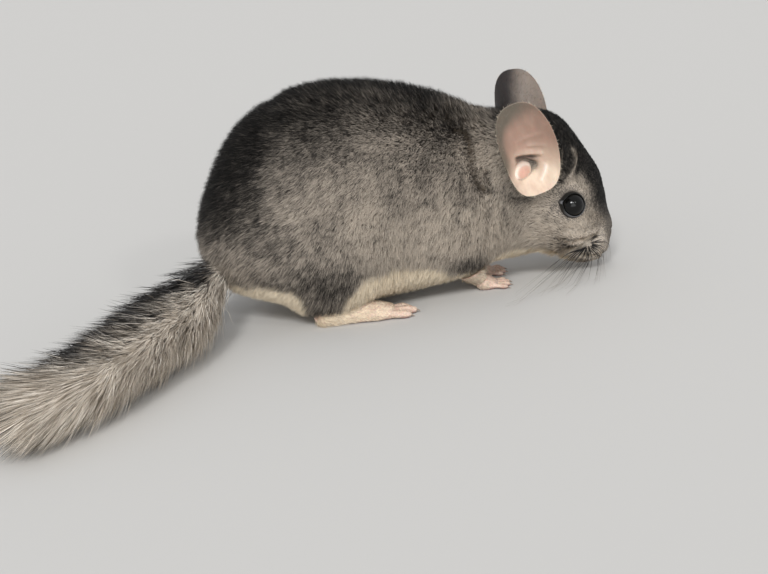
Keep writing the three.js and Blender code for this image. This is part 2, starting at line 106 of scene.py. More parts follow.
def smoothLine(points, count):
    # a Catmull-Rom line through the points, evenly spaced by the length of its first three columns
    points = np.array(points, float)
    padded = np.vstack([2 * points[0] - points[1], points, 2 * points[-1] - points[-2]])
    t = np.linspace(0, 1, 24, endpoint=False)[:, None]
    spans = [
        0.5 * (2 * b + (c - a) * t + (2 * a - 5 * b + 4 * c - d) * t**2 + (3 * b - a - 3 * c + d) * t**3)
        for a, b, c, d in zip(padded[:-3], padded[1:-2], padded[2:-1], padded[3:])
    ]
    fine = np.vstack([*spans, points[-1:]])
    walked = np.r_[0, np.cumsum(np.linalg.norm(np.diff(fine[:, :3], axis=0), axis=1))]
    places = np.linspace(0, walked[-1], count) if np.isscalar(count) else walked[-1] * count
    return np.column_stack([np.interp(places, walked, column) for column in fine.T])


def makeMesh(name, points, faces, marks=None, uv=None, normals=None):
    # faces are arrays of corner indices, one for each number of corners; uv is per corner or per point
    mesh = bpy.data.meshes.new(name)
    mesh.vertices.add(len(points))
    mesh.vertices.foreach_set("co", toFrame(points).astype(np.float32).ravel())
    corners = np.concatenate([part.ravel() for part in faces]).astype(np.int32)
    sizes = np.concatenate([np.full(len(part), part.shape[1]) for part in faces])
    mesh.loops.add(len(corners))
    mesh.loops.foreach_set("vertex_index", corners)
    mesh.polygons.add(len(sizes))
    mesh.polygons.foreach_set("loop_start", np.r_[0, np.cumsum(sizes)[:-1]].astype(np.int32))
    mesh.update(calc_edges=True)
    for key, values in (marks or {}).items():
        kind, field = ("FLOAT", "value") if values.ndim == 1 else ("FLOAT_VECTOR", "vector")
        mark = mesh.attributes.new(key, kind, "POINT")
        mark.data.foreach_set(field, values.astype(np.float32).ravel())
    if uv is not None:
        perCorner = uv if len(uv) == len(corners) else uv[corners]
        mesh.uv_layers.new(name="OFBake").uv.foreach_set("vector", perCorner.astype(np.float32).ravel())
    if normals is not None:
        mesh.normals_split_custom_set_from_vertices(normals.astype(np.float32))
    piece = bpy.data.objects.new(name, mesh)
    bpy.context.scene.collection.objects.link(piece)
    return piece


def finishPiece(piece, material, slot, *nodes):
    piece.data.materials.clear()
    piece.data.materials.append(material)
    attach(piece, "root")
    if nodes:
        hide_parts(*nodes)


def gridFaces(rows, columns, closed):
    # quads between rows of points, with the last column joined to the first where the rows close
    spans = columns if closed else columns - 1
    row, column = np.meshgrid(np.arange(rows - 1), np.arange(spans), indexing="ij")
    after = (column + 1) % columns
    quads = np.stack([row * columns + column, row * columns + after,
                      (row + 1) * columns + after, (row + 1) * columns + column], axis=-1)
    return quads.reshape(-1, 4)


def facingOut(points, faces, middle=None):
    # the same faces, wound so that they look away from a point inside
    flat = points.reshape(-1, 3)
    centre = flat[np.unique(faces)].mean(axis=0) if middle is None else middle
    a, b, c = (flat[faces[:, k]] - centre for k in range(3))
    return faces if np.sum(a * np.cross(b, c)) > 0 else faces[:, ::-1]


# Shader maths: a Wire is a socket that can be added, multiplied and mixed like a number

class Wire:
    def __init__(self, paint, socket):
        self.paint, self.socket = paint, socket

    def maths(self, operation, first, second):
        return self.paint.node("Math", {"operation": operation}, {0: first, 1: second})

    def __add__(self, other):
        return self.maths("ADD", self, other)

    def __sub__(self, other):
        return self.maths("SUBTRACT", self, other)

    def __rsub__(self, other):
        return self.maths("SUBTRACT", other, self)

    def __mul__(self, other):
        return self.maths("MULTIPLY", self, other)

    __radd__ = __add__
    __rmul__ = __mul__

    def ramp(self, low, high, start=0.0, end=1.0):
        settings = {"interpolation_type": "SMOOTHSTEP"}
        inputs = {"Value": self, "From Min": low, "From Max": high, "To Min": start, "To Max": end}
        return self.paint.node("MapRange", settings, inputs)

    def stretch(self, scale):
        return self.paint.node("VectorMath", {"operation": "MULTIPLY"}, {0: self, 1: scale})

    def between(self, first, second):
        # this share of the way from one colour to another
        settings = {"data_type": "RGBA", "clamp_factor": True}
        return self.paint.node("Mix", settings, {0: self, 6: first, 7: second}, 2)

    def shaded(self, amount):
        # this colour made darker or lighter by a number
        grey = self.paint.node("CombineColor", {}, {0: amount, 1: amount, 2: amount})
        settings = {"data_type": "RGBA", "blend_type": "MULTIPLY", "clamp_factor": True}
        return self.paint.node("Mix", settings, {0: 1.0, 6: self, 7: grey}, 2)


class Paint:
    def __init__(self, name, **constants):
        self.material = bpy.data.materials.new(name)
        self.material.use_nodes = True
        self.tree = self.material.node_tree
        self.shader = self.tree.nodes["Principled BSDF"]
        for key, value in constants.items():
            self.plug(self.shader.inputs[key.replace("_", " ")], value)

    def plug(self, socket, value):
        if isinstance(value, Wire):
            self.tree.links.new(value.socket, socket)
        elif hasattr(value, "__len__") and socket.type == "RGBA":
            socket.default_value = (*value, 1.0)
        else:
            socket.default_value = value

    def node(self, kind, settings=None, inputs=None, output=0):
        made = self.tree.nodes.new("ShaderNode" + kind)
        for key, value in (settings or {}).items():
            setattr(made, key, value)
        for key, value in (inputs or {}).items():
            self.plug(made.inputs[key], value)
        return Wire(self, made.outputs[output])

    def mark(self, name, output="Fac"):
        return self.node("Attribute", {"attribute_name": name}, {}, output)

    def noise(self, place, scale, detail=2.0, roughness=0.5):
        inputs = {"Vector": place, "Scale": scale, "Detail": detail, "Roughness": roughness}
        return self.node("TexNoise", {}, inputs, "Fac")

    def bump(self, height, strength, distance):
        inputs = {"Height": height, "Strength": strength, "Distance": distance}
        return self.node("Bump", {}, inputs, "Normal")

    def use(self, **drives):
        for key, value in drives.items():
            self.plug(self.shader.inputs[key.replace("_", " ")], value)
        return self.material


# The body's surface: rays leave a line inside the body and stop where its solids end

bodyGrid = dict(
    line=[(-41.5, 0, 48, 0), (-10, 0, 56, 0), (30, 0, 54, 0), (54, 0, 51, 2), (70, 0, 49, 3),
          (83, 0, 45, -8), (92, 0, 38, -18), (98, 0, 30, -27), (101, 0, 23, -33)],
    trunkShare=0.54,
    trunkRings=84,
    headRings=104,
    rumpRings=46,
    muzzleRings=40,
    around=288,
    seamWidth=2.5,  # the widest gap between solids that still counts as flesh
)


def fleshTree(names):
    points, faces = [], []
    for name in names:
        start = sum(len(part) for part in points)
        points.append(nodePoints(name))
        faces += [[start + i for i in face.vertices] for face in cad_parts[name].data.polygons]
    return BVHTree.FromPolygons(np.vstack(points).tolist(), faces)


def lastSurface(tree, start, direction, seamWidth):
    reached, leaving, walked = math.nan, False, 0.0
    while True:
        hit, normal, _, far = tree.ray_cast(start + direction * walked, direction)
        if hit is None or (leaving and far > seamWidth):
            return reached
        leaving = normal.dot(direction) > 0
        walked += far + 1e-3
        reached = walked if leaving else reached


def bodySurface():
    g = bodyGrid
    shares = np.r_[np.zeros(g["rumpRings"]),
                   np.linspace(0, g["trunkShare"], g["trunkRings"], endpoint=False),
                   np.linspace(g["trunkShare"], 1, g["headRings"]),
                   np.ones(g["muzzleRings"])]
    leans = np.r_[np.linspace(-90, 0, g["rumpRings"], endpoint=False),
                  np.zeros(g["trunkRings"] + g["headRings"]),
                  np.linspace(0, 90, g["muzzleRings"] + 1)[1:]]
    stations = smoothLine(g["line"], shares)
    pitch, lean = np.radians(stations[:, 3:4]), np.radians(leans)[:, None]
    turn = np.pi + 2 * np.pi * np.arange(g["around"])[None, :] / g["around"]
    flat = np.zeros_like(turn * pitch)
    along = np.stack([np.cos(pitch) + flat, flat, np.sin(pitch) + flat], axis=-1)
    out = [-np.sin(pitch) * np.cos(turn), np.sin(turn) + flat, np.cos(pitch) * np.cos(turn)]
    out = np.stack(out, axis=-1)
    rays = out * np.cos(lean)[..., None] + along * np.sin(lean)[..., None]
    starts = np.repeat(stations[:, None, :3], g["around"], axis=1)
    tree = fleshTree(["torso", "neck", "head", "haunch_right", "haunch_left"])
    reach = np.array([[lastSurface(tree, Vector(s), Vector(r), g["seamWidth"]) for s, r in zip(*row)]
                      for row in zip(starts, rays)])
    return starts, rays, reach, shares, np.cos(turn) * np.cos(lean)


def smoothGrid(values, rounds, hold=None):
    # evens out a grid that closes across its columns, keeping the cells that hold marks as they are
    for _ in range(rounds):
        across = (np.roll(values, 1, axis=1) + np.roll(values, -1, axis=1)) / 2
        padded = np.concatenate([values[:1], values, values[-1:]])
        along = (padded[:-2] + padded[2:]) / 2
        even = values / 2 + (across + along) / 4
        values = even if hold is None else np.where(hold, values, even)
    return values


def evenedGrid(values, rounds):
    # the broad form that smoothing takes off is put back
    even = smoothGrid(values, rounds)
    return even + smoothGrid(values - even, rounds)


def gridNormals(points):
    along = np.gradient(points, axis=0)
    across = (np.roll(points, -1, axis=1) - np.roll(points, 1, axis=1)) / 2
    normals = unit(np.cross(across, along))
    middle = len(points) // 2
    outward = points[middle] - points[middle].mean(axis=0)
    normals = normals if np.sum(normals[middle] * outward) > 0 else -normals
    for end, inner in ((0, 2), (-1, -3)):  # at a pole the columns meet, so its own slope is lost
        normals[end] = unit(normals[inner].mean(axis=0))
    normals[1], normals[-2] = unit(normals[0] + normals[2]), unit(normals[-1] + normals[-3])
    return normals


eyes = {}
for sideName in sides:
    low, high = (fromFrame(corner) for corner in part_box("eye_" + sideName))
    eyes[sideName] = {"centre": (low + high) / 2, "radius": float(high[0] - low[0]) / 2}

evening = dict(
    eyeGuard=8.4,  # from the middle of an eye out to where the rays are trusted
    lips=(101, 2.8),  # where they start along the body, and half the band that is evened out there
    nostrils=(110, 20, 2.4, 5.5),  # start, height, half the band and half its width
    lost=40.0,  # stands for the reach of a ray that meets nothing
    fillRounds=900,
    headRounds=30,
    trunkRounds=150,
    trunkEnd=(0.5, 0.68),  # along the line, where the trunk's broad evening gives way to the head's
)


def evenedSurface(starts, rays, reach, ringShares):
    # the lids, lips and nostrils of the solids are filled in from round them, to be sculpted finer later
    m = evening
    filled = np.nan_to_num(reach, nan=m["lost"])
    rough = starts + rays * filled[..., None]
    x, y, z = np.moveaxis(rough, -1, 0)
    unsure = np.isnan(reach)
    for eye in eyes.values():
        unsure |= np.linalg.norm(rough - eye["centre"], axis=-1) < m["eyeGuard"]
    lipStart, lipBand = m["lips"]
    unsure |= (x > lipStart) & (np.abs(z - mouthZ) < lipBand)
    noseStart, noseUp, noseBand, noseHalf = m["nostrils"]
    unsure |= (x > noseStart) & (np.abs(z - noseUp) < noseBand) & (np.abs(y) < noseHalf)
    known = smoothGrid(np.where(unsure, np.nanmean(reach), filled), m["fillRounds"], ~unsure)
    onHead, onTrunk = evenedGrid(known, m["headRounds"]), evenedGrid(known, m["trunkRounds"])
    trunkWeight = 1 - ramp(ringShares, *m["trunkEnd"])[:, None]
    print("body surface", reach.shape, "unsure", int(unsure.sum()))
    return starts + rays * (onHead * (1 - trunkWeight) + onTrunk * trunkWeight)[..., None]


starts, rays, reach, ringShares, facingUp = bodySurface()
surface = evenedSurface(starts, rays, reach, ringShares)
surfaceNormal = gridNormals(surface)


# The skin lies under the surface by the coat's depth, with its lids, folds, lips and nostrils sculpted in

coat = dict(
    places=[-92, 36, 54, 66, 80, 90, 99, 106, 111, 116],  # along the body, nose last
    depths=[6.2, 6.0, 5.6, 4.4, 3.2, 2.3, 1.6, 1.0, 0.6, 0.25],
    lifts=[66, 66, 62, 54, 44, 36, 32, 27, 22, 18],  # degrees off the skin at the root
    bend=0.3,  # share of the lift that a hair has lost at its tip
    bellyDepth=0.6,  # share of that depth on the belly
    cheekDepth=1.35,
    cheek=((70, 80), (101, 92), (44, 28)),  # its rear and front edges along the body, and its upper edge
    belly=((96, 80), (24, 8)),
    clumpLength=(0.93, 1.04),  # of the length that reaches out to the surface
    hairLength=(0.84, 1.08),
    neckLonger=0.08,
    hairTurn=0.16,  # in radians, as the lifts of clumps and hairs below
    tipCover=0.7,  # a hair has the marks of the place that this share of its length covers
    clumpLift=0.05,
    hairLift=0.12,
    clumpTone=0.3,
    hairTone=0.85,
    hairWidth=(0.7, 1.25),
)
hairless = 6.7  # from the middle of each eyeball out to the first hair
creases = [  # lines of x and z on each side where the coat parts, or stands out where depth is below 0; their dark is painted shade in a parting, and below 0 painted light along a fold that stands out
    dict(line=[(50.4, 84), (50.7, 76), (50.4, 68), (51.6, 60), (54.7, 55)], depth=1.5, dark=0.7),
    dict(line=[(56, 67), (57.3, 58), (58.5, 53)], depth=1.0, dark=0.35),
    dict(line=[(55.4, 50), (55.4, 43), (54, 36), (54, 32), (51.7, 28)], depth=0.9, dark=0.4),
    dict(line=[(44.4, 59), (38.8, 46), (38.7, 41)], depth=0.6, dark=0.25),
    dict(line=[(46, 45), (43, 36), (41, 27)], depth=0.8, dark=0.35),
    dict(line=[(62.7, 44), (62.6, 38), (63.7, 32)], depth=0.7, dark=0.3),
    dict(line=[(92.5, 69), (92.3, 63.7), (90.7, 58.9), (88.2, 54.6)], depth=-0.6, dark=-0.85),
    dict(line=[(94.6, 69), (94.3, 62.7), (92.6, 57.9), (89.5, 52.7), (85.2, 49.1)], depth=0.9, dark=0.6),
    dict(line=[(97.5, 69), (97.3, 64.1), (96.1, 59.8), (93.9, 55.6), (91, 51.9)], depth=0.8, dark=0.5),
    dict(line=[(98.8, 65.8), (99.7, 61.9), (98.5, 57.7), (95.9, 54.1)], depth=-0.6, dark=-0.85),
    dict(line=[(101.7, 62.4), (101.4, 58.1), (99.1, 54.2)], depth=0.5, dark=0.35),
    dict(line=[(87, 41.8), (84.2, 39.8), (81.5, 37.2), (79.7, 33.4)], depth=0.5, dark=0.35),
    dict(line=[(66, 50), (70.4, 46.5), (76, 47)], depth=1.0, dark=0.5),
]
fold = [(79.8, 27.5), (84.4, 25.4), (87.6, 22.2), (92.5, 19.3), (96.2, 18.9), (100.7, 18.8), (103.4, 19.1),
        (106.2, 19.3)]


def lineDistance(points, line):
    # how far each point lies from a line of x and z, on either side of the body
    path = smoothLine([(x, z, 0) for x, z in line], 50)[:, :2]
    flat = points[..., [0, 2]].reshape(-1, 2)
    gaps = np.min(np.linalg.norm(flat[:, None] - path[None], axis=-1), axis=1).reshape(points.shape[:-1])
    return np.where(np.abs(points[..., 1]) > 3.5, gaps, 99)


def eyeDistance(points):
    return np.min([np.linalg.norm(points - eye["centre"], axis=-1) for eye in eyes.values()], axis=0)


def coatDepth(points):
    depth = np.interp(points[..., 0], coat["places"], coat["depths"])
    rear, front, upper = coat["cheek"]
    cheek = ramp(points[..., 0], *rear) * ramp(points[..., 2], *upper) * ramp(points[..., 0], *front)
    ends, upper = coat["belly"]
    belly = ramp(points[..., 2], *upper) * ramp(points[..., 0], *ends)
    return depth * (1 + (coat["cheekDepth"] - 1) * cheek) * (1 + (coat["bellyDepth"] - 1) * belly)


sculptPlan = dict(
    fold=dict(depth=1.5, width=0.9, start=(82, 92)),  # over the whisker pad
    overFold=dict(rise=0.7, above=2.4, width=1.5, start=(84, 94)),
    creaseWidth=1.1,
    mouth=dict(depth=1.5, width=0.7, start=(98, 103)),
    lips=dict(rise=0.7, away=1.9, width=1.1),  # away from the line of the mouth, above and below it
    cleft=dict(depth=0.9, width=0.55, start=(108, 111), foot=(7, 9), top=(19.5, 18)),
    nostril=dict(depth=1.5, apart=3.1, z=19.4, slope=0.5, half=(1.7, 0.75), start=(109, 112)),
    socket=dict(depth=2.5, edge=(7.7, 6.5)),
)


def sculpt(points, normals):
    # moves the skin along its own normals: a fold, the mouth, nostrils, cleft and the hollow of each eye
    m = sculptPlan
    x, y, z = np.moveaxis(points, -1, 0)
    move = -coatDepth(points)
    cut, over = m["fold"], m["overFold"]
    move -= cut["depth"] * hump(lineDistance(points, fold), cut["width"]) * ramp(x, *cut["start"])
    raised = [(along, up + over["above"]) for along, up in fold]
    move += over["rise"] * hump(lineDistance(points, raised), over["width"]) * ramp(x, *over["start"])
    for crease in creases:
        move -= crease["depth"] * hump(lineDistance(points, crease["line"]), m["creaseWidth"])
    mouth, lips, cleft, nostril, socket = (m[key] for key in ("mouth", "lips", "cleft", "nostril", "socket"))
    front = ramp(x, *mouth["start"])
    move -= mouth["depth"] * hump(z - mouthZ, mouth["width"]) * front
    for way in (-1, 1):
        move += lips["rise"] * hump(z - mouthZ - way * lips["away"], lips["width"]) * front
    tall = ramp(z, *cleft["foot"]) * ramp(z, *cleft["top"])
    move -= cleft["depth"] * hump(y, cleft["width"]) * ramp(x, *cleft["start"]) * tall
    for side in sides.values():
        across = (y - side * nostril["apart"]) / nostril["half"][0]
        up = (z - nostril["z"] - nostril["slope"] * (np.abs(y) - nostril["apart"])) / nostril["half"][1]
        move -= nostril["depth"] * hump(np.hypot(across, up), 1.0) * ramp(x, *nostril["start"])
    for eye in eyes.values():
        near = np.linalg.norm(points - eye["centre"], axis=-1)
        move -= socket["depth"] * ramp(near, *socket["edge"])
    return points + normals * move[..., None]


skinPoints = sculpt(surface, surfaceNormal)
skinNormal = gridNormals(skinPoints)
rows, columns = skinPoints.shape[:2]


def gridUv(rowPlaces, columnPlaces):
    return np.stack([0.02 + 0.96 * columnPlaces / columns, 0.02 + 0.96 * rowPlaces / (rows - 1)], axis=-1)


# Markings: dark over the back, paler down the flank and cream below, the same for skin and coat, with
# painted shade along the creases and the whisker pad's fold and painted light along the face's raised folds

markingPlan = dict(
    facing=[-1, -0.5, -0.1, 0.25, 0.5, 0.7, 0.85, 1],  # which way a place looks, 1 for straight up
    darkness=[0.08, 0.06, 0.1, 0.22, 0.38, 0.55, 0.84, 1],
    faceFacing=[-1, 0.2, 0.6, 0.82, 1],
    faceDarkness=[0.0, 0.06, 0.34, 0.85, 1],
    creamTop=[(-75, 24), (-64, 24), (-52, 24), (-44, 21), (-39, 13), (-35, 4), (-26, 4), (-21, 11), (-8, 24),
              (5, 25), (20, 23), (30, 17), (33, 13), (43, 12.5), (52, 14), (58, 18.5), (66, 18), (75, 18),
              (84, 17.5), (91, 8), (97, 2), (108, 1)],
    patches=[  # x, z, both reaches and how much darker, from the thigh forward to the muzzle
        (-30, 17, 26, 16, 0.3), (-34, 32, 28, 26, 0.32), (43, 16, 12, 9, 0.68), (38, 73, 14, 17, 0.1),
        (12, 96, 21, 17, -0.2), (86, 78, 9, 12, 0.35), (88, 64, 8, 13, 0.2), (66, 42, 9, 14, 0.24),
        (30, 56, 11, 14, -0.1), (63, 74, 8, 11, -0.2), (101, 12, 14, 11, -0.8), (101, 27, 11, 8, -0.3)],
    patchEdge=(1.4, 0.35),  # in shares of the reaches, from outside a patch to full strength
    patchWaver=0.14,
    brow=(6, 0, 8.5),  # from the eye to the middle of the pale patch over it
    browEdge=(10, 4),
    rump=0.2,  # how much darker, as in the next five lines
    rumpTop=0.35,
    shoulder=0.18,
    bridge=0.4,
    # painted shade along the crease of the whisker pad's fold
    foldShade=1.2,
    streak=0.14,
    collar=(0.18, 0.34),  # how much paler behind the ears, low on the side and more above
    browPale=0.35,
    mottle=[(0.11, 9.0, 11), (0.09, 4.0, 12), (0.07, 2.2, 16)],  # amount, size of the lumps and seed
    creamWaver=1.5,
    lightest=-0.5,  # darkness below 0 pales the root too, and only the face has it
)


def markings(points, facing):
    m = markingPlan
    x, y, z = np.moveaxis(points, -1, 0)
    rump = ramp(x, -58, -86)
    facing = facing * (1 - rump) + np.clip((z - 38) / 44, -1, 1) * rump
    dark = np.interp(facing, m["facing"], m["darkness"])
    dark += m["rump"] * ramp(x, -40, -56) + m["rumpTop"] * ramp(x, -46, -62) * ramp(z, 40, 58)
    dark += m["shoulder"] * ramp(x, 0, 14) * hump(facing - 0.12, 0.3)
    dark -= (m["collar"][0] + m["collar"][1] * ramp(facing, 0.1, 0.6)) * hump(x - 55, 17)
    face = ramp(x, 62, 76)
    dark = dark * (1 - face) + face * np.interp(facing, m["faceFacing"], m["faceDarkness"])
    dark += m["bridge"] * ramp(np.abs(y), 15, 7) * ramp(x, 78, 90) * ramp(z, 34, 50)
    waver = m["patchWaver"] * valueNoise(points, 5.0, 15)
    for patchX, patchZ, reachX, reachZ, amount in m["patches"]:
        far = np.hypot((x - patchX) / reachX, (z - patchZ) / reachZ) + waver
        dark += amount * ramp(far, *m["patchEdge"]) * ramp(np.abs(y), 4, 12)
    for eye in eyes.values():
        far = np.linalg.norm(points - eye["centre"] - m["brow"], axis=-1)
        dark -= m["browPale"] * ramp(far, *m["browEdge"])
    onFace = ramp(x, 82, 94)
    # painted shade along the whisker pad's fold
    dark += m["foldShade"] * hump(lineDistance(points, fold), 0.8) * onFace
    # painted shade along each crease, and painted light along those whose dark is below 0
    for crease in creases:
        dark += crease["dark"] * hump(lineDistance(points, crease["line"]), 0.9)
    for amount, size, seed in m["mottle"]:
        dark += amount * valueNoise(points, size, seed)
    streak = valueNoise(points, (2.4, 40.0, 11.0), 13) * (0.35 + 0.65 * ramp(x, 14, 28))
    dark += m["streak"] * streak * ramp(x, 74, 60) * ramp(z, 96, 74)
    top = np.interp(x, *zip(*m["creamTop"])) + m["creamWaver"] * valueNoise(points, 6.0, 14)
    cream = ramp(z, top + 1.5, top - 3)
    return np.clip(dark, m["lightest"] * onFace, 1) * (1 - cream), cream


# Where the coat grows and how it lies

lie = dict(
    sag=0.8,  # how far the hair of the sides turns down
    sagEdge=(0.1, 0.7),
    sagEnd=(90, 56),
    rump=(-52, -82),
    rumpForward=0.15,  # what is left of the way along the body on the rump, where the hair hangs
    roundEye=0.4,
    eyeRing=(6, 5),
)
rowSlope = np.gradient(skinPoints, axis=0)
columnSlope = (np.roll(skinPoints, -1, 1) - np.roll(skinPoints, 1, 1)) / 2


def coatLie():
    # the way the hair lies at each place of the grid: back along the body, down the sides and off the eyes
    down = np.array([0, 0, -1.0])
    back = unit(-rowSlope)
    sag = lie["sag"] * ramp(np.abs(surfaceNormal[..., 1]), *lie["sagEdge"])
    sag = sag * ramp(surface[..., 0], *lie["sagEnd"])
    atRump = ramp(surface[..., 0], *lie["rump"])[..., None]
    lies = (back + sag[..., None] * down) * (1 - atRump) + (down + back * lie["rumpForward"]) * atRump
    for eye in eyes.values():
        away = skinPoints - eye["centre"]
        near = hump(np.linalg.norm(away, axis=-1) - lie["eyeRing"][0], lie["eyeRing"][1])
        lies = lies + lie["roundEye"] * near[..., None] * unit(away)
    return unit(lies - skinNormal * np.sum(lies * skinNormal, axis=-1, keepdims=True))


lieGrid = coatLie()
darkGrid, creamGrid = markings(surface, facingUp)
cellArea = np.linalg.norm(np.cross(rowSlope, columnSlope), axis=-1)
print("skin area, square mm", int(cellArea.sum()))


def onGrid(values, row, column):
    low, left = np.floor(row).astype(int), np.floor(column).astype(int)
    high, right = np.minimum(low + 1, rows - 1), (left + 1) % columns
    left = left % columns
    shape = (-1,) + (1,) * (values.ndim - 2)
    up, across = (row - low).reshape(shape), (column - np.floor(column)).reshape(shape)
    return ((values[low, left] * (1 - across) + values[low, right] * across) * (1 - up)
            + (values[high, left] * (1 - across) + values[high, right] * across) * up)


def clumpsOf(roots, spacing, area, random):
    # each hair's nearest clump, as the index of the hair that the clump gathers round
    count = max(int(area / spacing**2), 8)
    centres = random.choice(len(roots), min(count, len(roots)), replace=False)
    tree = KDTree(len(centres))
    for index, centre in enumerate(centres):
        tree.insert(roots[centre], index)
    tree.balance()
    nearest = np.fromiter((tree.find(root)[1] for root in roots), int, len(roots))
    return centres[nearest], nearest


blade = dict(
    roll=0.85,  # the most that a blade turns about its own length, in radians
    sunk=0.4,  # how far its root lies in the skin
    floor=0.25,
    rootWidth=0.75,
    rough=0.22,  # how much the shading of one hair differs from the next
    lean=0.25,
    patchHalf=0.0015,  # of its place on the coat's map
    limit=60000,  # the most hairs in a piece
)


def growHair(name, hair, material, slot, random, limit=blade["limit"]):
    # hair holds an array for each property, one entry a hair; each is a flat blade that tapers to a point
    steps, bend = hair["steps"], hair["bend"]
    count = len(hair["roots"])
    side = unit(np.cross(hair["normals"], hair["lies"]))
    roll = random.uniform(-blade["roll"], blade["roll"], count)[:, None]
    across = side * np.cos(roll) + hair["normals"] * np.sin(roll)
    middle, rings = hair["roots"] - blade["sunk"] * hair["normals"], []
    taper = np.sqrt(1 - np.linspace(0, 1, steps, endpoint=False) ** 2)
    taper = taper * np.linspace(blade["rootWidth"], 1, steps)
    pulled = hair.get("pull", np.zeros((count, 3)))
    for step in range(steps + 1):
        share = step / steps
        gathered = middle + pulled * share**1.5
        if step < steps:
            half = across * (hair["widths"] * taper[step] / 2)[:, None]
            rings += [gathered - half, gathered + half]
            angle = (hair["lifts"] * (1 - bend * (share + 0.5 / steps)))[:, None]
            heading = hair["lies"] * np.cos(angle) + hair["normals"] * np.sin(angle)
            middle = middle + heading * (hair["lengths"] / steps)[:, None]
        else:
            rings.append(gathered)
    points = np.stack(rings, axis=1)
    points[..., 2] = np.maximum(points[..., 2], blade["floor"])
    ends = np.r_[np.repeat(np.arange(steps), 2), steps] / steps
    each = points.shape[1]
    rough = blade["rough"] * random.normal(size=(count, 3))
    shading = unit(hair["normals"] + rough - blade["lean"] * hair["lies"])
    patch = np.stack([np.r_[np.tile([-1, 1], steps), 0], 2 * ends - 1], axis=-1) * blade["patchHalf"]
    quads = np.concatenate([[[2 * k + 1, 2 * k, 2 * k + 2, 2 * k + 3]] for k in range(steps - 1)])
    tip = np.array([[2 * steps - 1, 2 * steps - 2, 2 * steps]])
    for number, start in enumerate(range(0, count, limit)):
        part = slice(start, min(start + limit, count))
        held = part.stop - part.start
        first = (np.arange(held) * each)[:, None, None]
        marks = {key: np.repeat(values[part], each, axis=0) for key, values in hair["marks"].items()}
        marks["along"] = np.tile(ends, held)
        piece = makeMesh(
            f"{name}_{number + 1}", points[part].reshape(-1, 3),
            [(first + quads).reshape(-1, 4), (first + tip).reshape(-1, 3)], marks,
            (hair["uv"][part][:, None] + patch).reshape(-1, 2), np.repeat(shading[part], each, axis=0))
        finishPiece(piece, material, slot)


# Materials of the coat and the skin

def coatPaint(name, palette):
    # a hair is slate at the root, pale in a band below its tip, and dark at the tip where its place is dark
    paint = Paint(name, Roughness=0.62, Specular_IOR_Level=0.12, Sheen_Weight=0.03, Sheen_Roughness=0.5)
    along, tone, dark, cream = (paint.mark(key) for key in ("along", "tone", "dark", "cream"))
    place = paint.mark("place", "Vector")
    mottle = paint.noise(place, palette["mottle"], 3.0, 0.6)
    light = dark.ramp(-0.5, 0.0).between(palette["bandLight"], palette["bandPale"])
    band = dark.between(light, palette["bandDark"])
    seen = along - dark.ramp(-0.5, 0.0, -0.3, 0.0)
    banded = seen.ramp(0.08, 0.45).between(palette["root"], band)
    tipStart = 1.2 - 0.75 * dark + 0.3 * tone + 0.25 * (mottle - 0.5)
    tip = dark.between(palette["tipPale"], palette["tipDark"])
    tipped = (along - tipStart + 0.12).ramp(0.0, 0.26).between(banded, tip)
    creamy = along.ramp(0.0, 0.35).between(palette["creamRoot"], palette["cream"])
    whole = cream.between(tipped, creamy)
    return paint.use(Base_Color=whole.shaded(tone.ramp(-1.6, 1.6, 0.8, 1.15)))


bodyPalette = dict(
    root=(0.038, 0.035, 0.034),
    bandLight=(0.84, 0.76, 0.66),
    bandPale=(0.56, 0.485, 0.40),
    bandDark=(0.07, 0.062, 0.054),
    tipPale=(0.10, 0.088, 0.078),
    tipDark=(0.010, 0.009, 0.008),
    cream=(0.90, 0.78, 0.60),
    creamRoot=(0.68, 0.58, 0.45),
    mottle=380.0,  # per metre, of the coat's fine mottling
)


def skinPaint():
    paint = Paint("bareSkin", Roughness=0.75, Specular_IOR_Level=0.2)
    dark, cream = paint.mark("dark"), paint.mark("cream")
    place = paint.mark("place", "Vector")
    grain = paint.noise(place, 900.0, 3.0)
    pale = dark.ramp(-0.5, 0.0).between((0.40, 0.35, 0.30), (0.16, 0.14, 0.12))
    under = cream.between(dark.between(pale, (0.02, 0.019, 0.018)), (0.58, 0.49, 0.38))
    colour = under.shaded(grain.ramp(0.3, 0.7, 0.8, 1.15))
    return paint.use(Base_Color=colour, Normal=paint.bump(grain, 0.3, 0.0004))


def dressSkin():
    faces = facingOut(skinPoints, gridFaces(rows, columns, True))
    cornerRows = faces // columns
    cornerColumns = faces % columns
    wrapped = (cornerColumns.max(axis=1, keepdims=True) - cornerColumns) > columns / 2
    uv = gridUv(cornerRows, np.where(wrapped, cornerColumns + columns, cornerColumns)).reshape(-1, 2)
    marks = {"dark": darkGrid.ravel(), "cream": creamGrid.ravel(), "place": surface.reshape(-1, 3) / 1000}
    points = skinPoints.copy()
    points[..., 2] = np.maximum(points[..., 2], 0.3)
    piece = makeMesh("skin", points.reshape(-1, 3), [faces], marks, uv)
    nodes = ["torso", "neck", "head", "haunch_right", "haunch_left", "foreleg_right", "foreleg_left"]
    finishPiece(piece, skinPaint(), "body_fur", *nodes)


dressSkin()
coatMaterial = coatPaint("greyCoat", bodyPalette)
print("skin dressed")

trunkCoat = dict(hairs=279000, width=0.36, clumpSpacing=1.8, gather=0.35, tousle=0.12)
headCoat = dict(hairs=118000, width=0.25, clumpSpacing=1.3, gather=0.3, tousle=0.1)
headStart = 62.0


def fringe(points):
    # how much longer the thigh's lowest hair is, where it hangs over the heel
    x, y, z = np.abs(points[:, 0] + 25), np.abs(points[:, 1]), points[:, 2]
    return 5.0 * ramp(x, 25, 9) * ramp(y, 18, 24) * ramp(z, 19, 12)


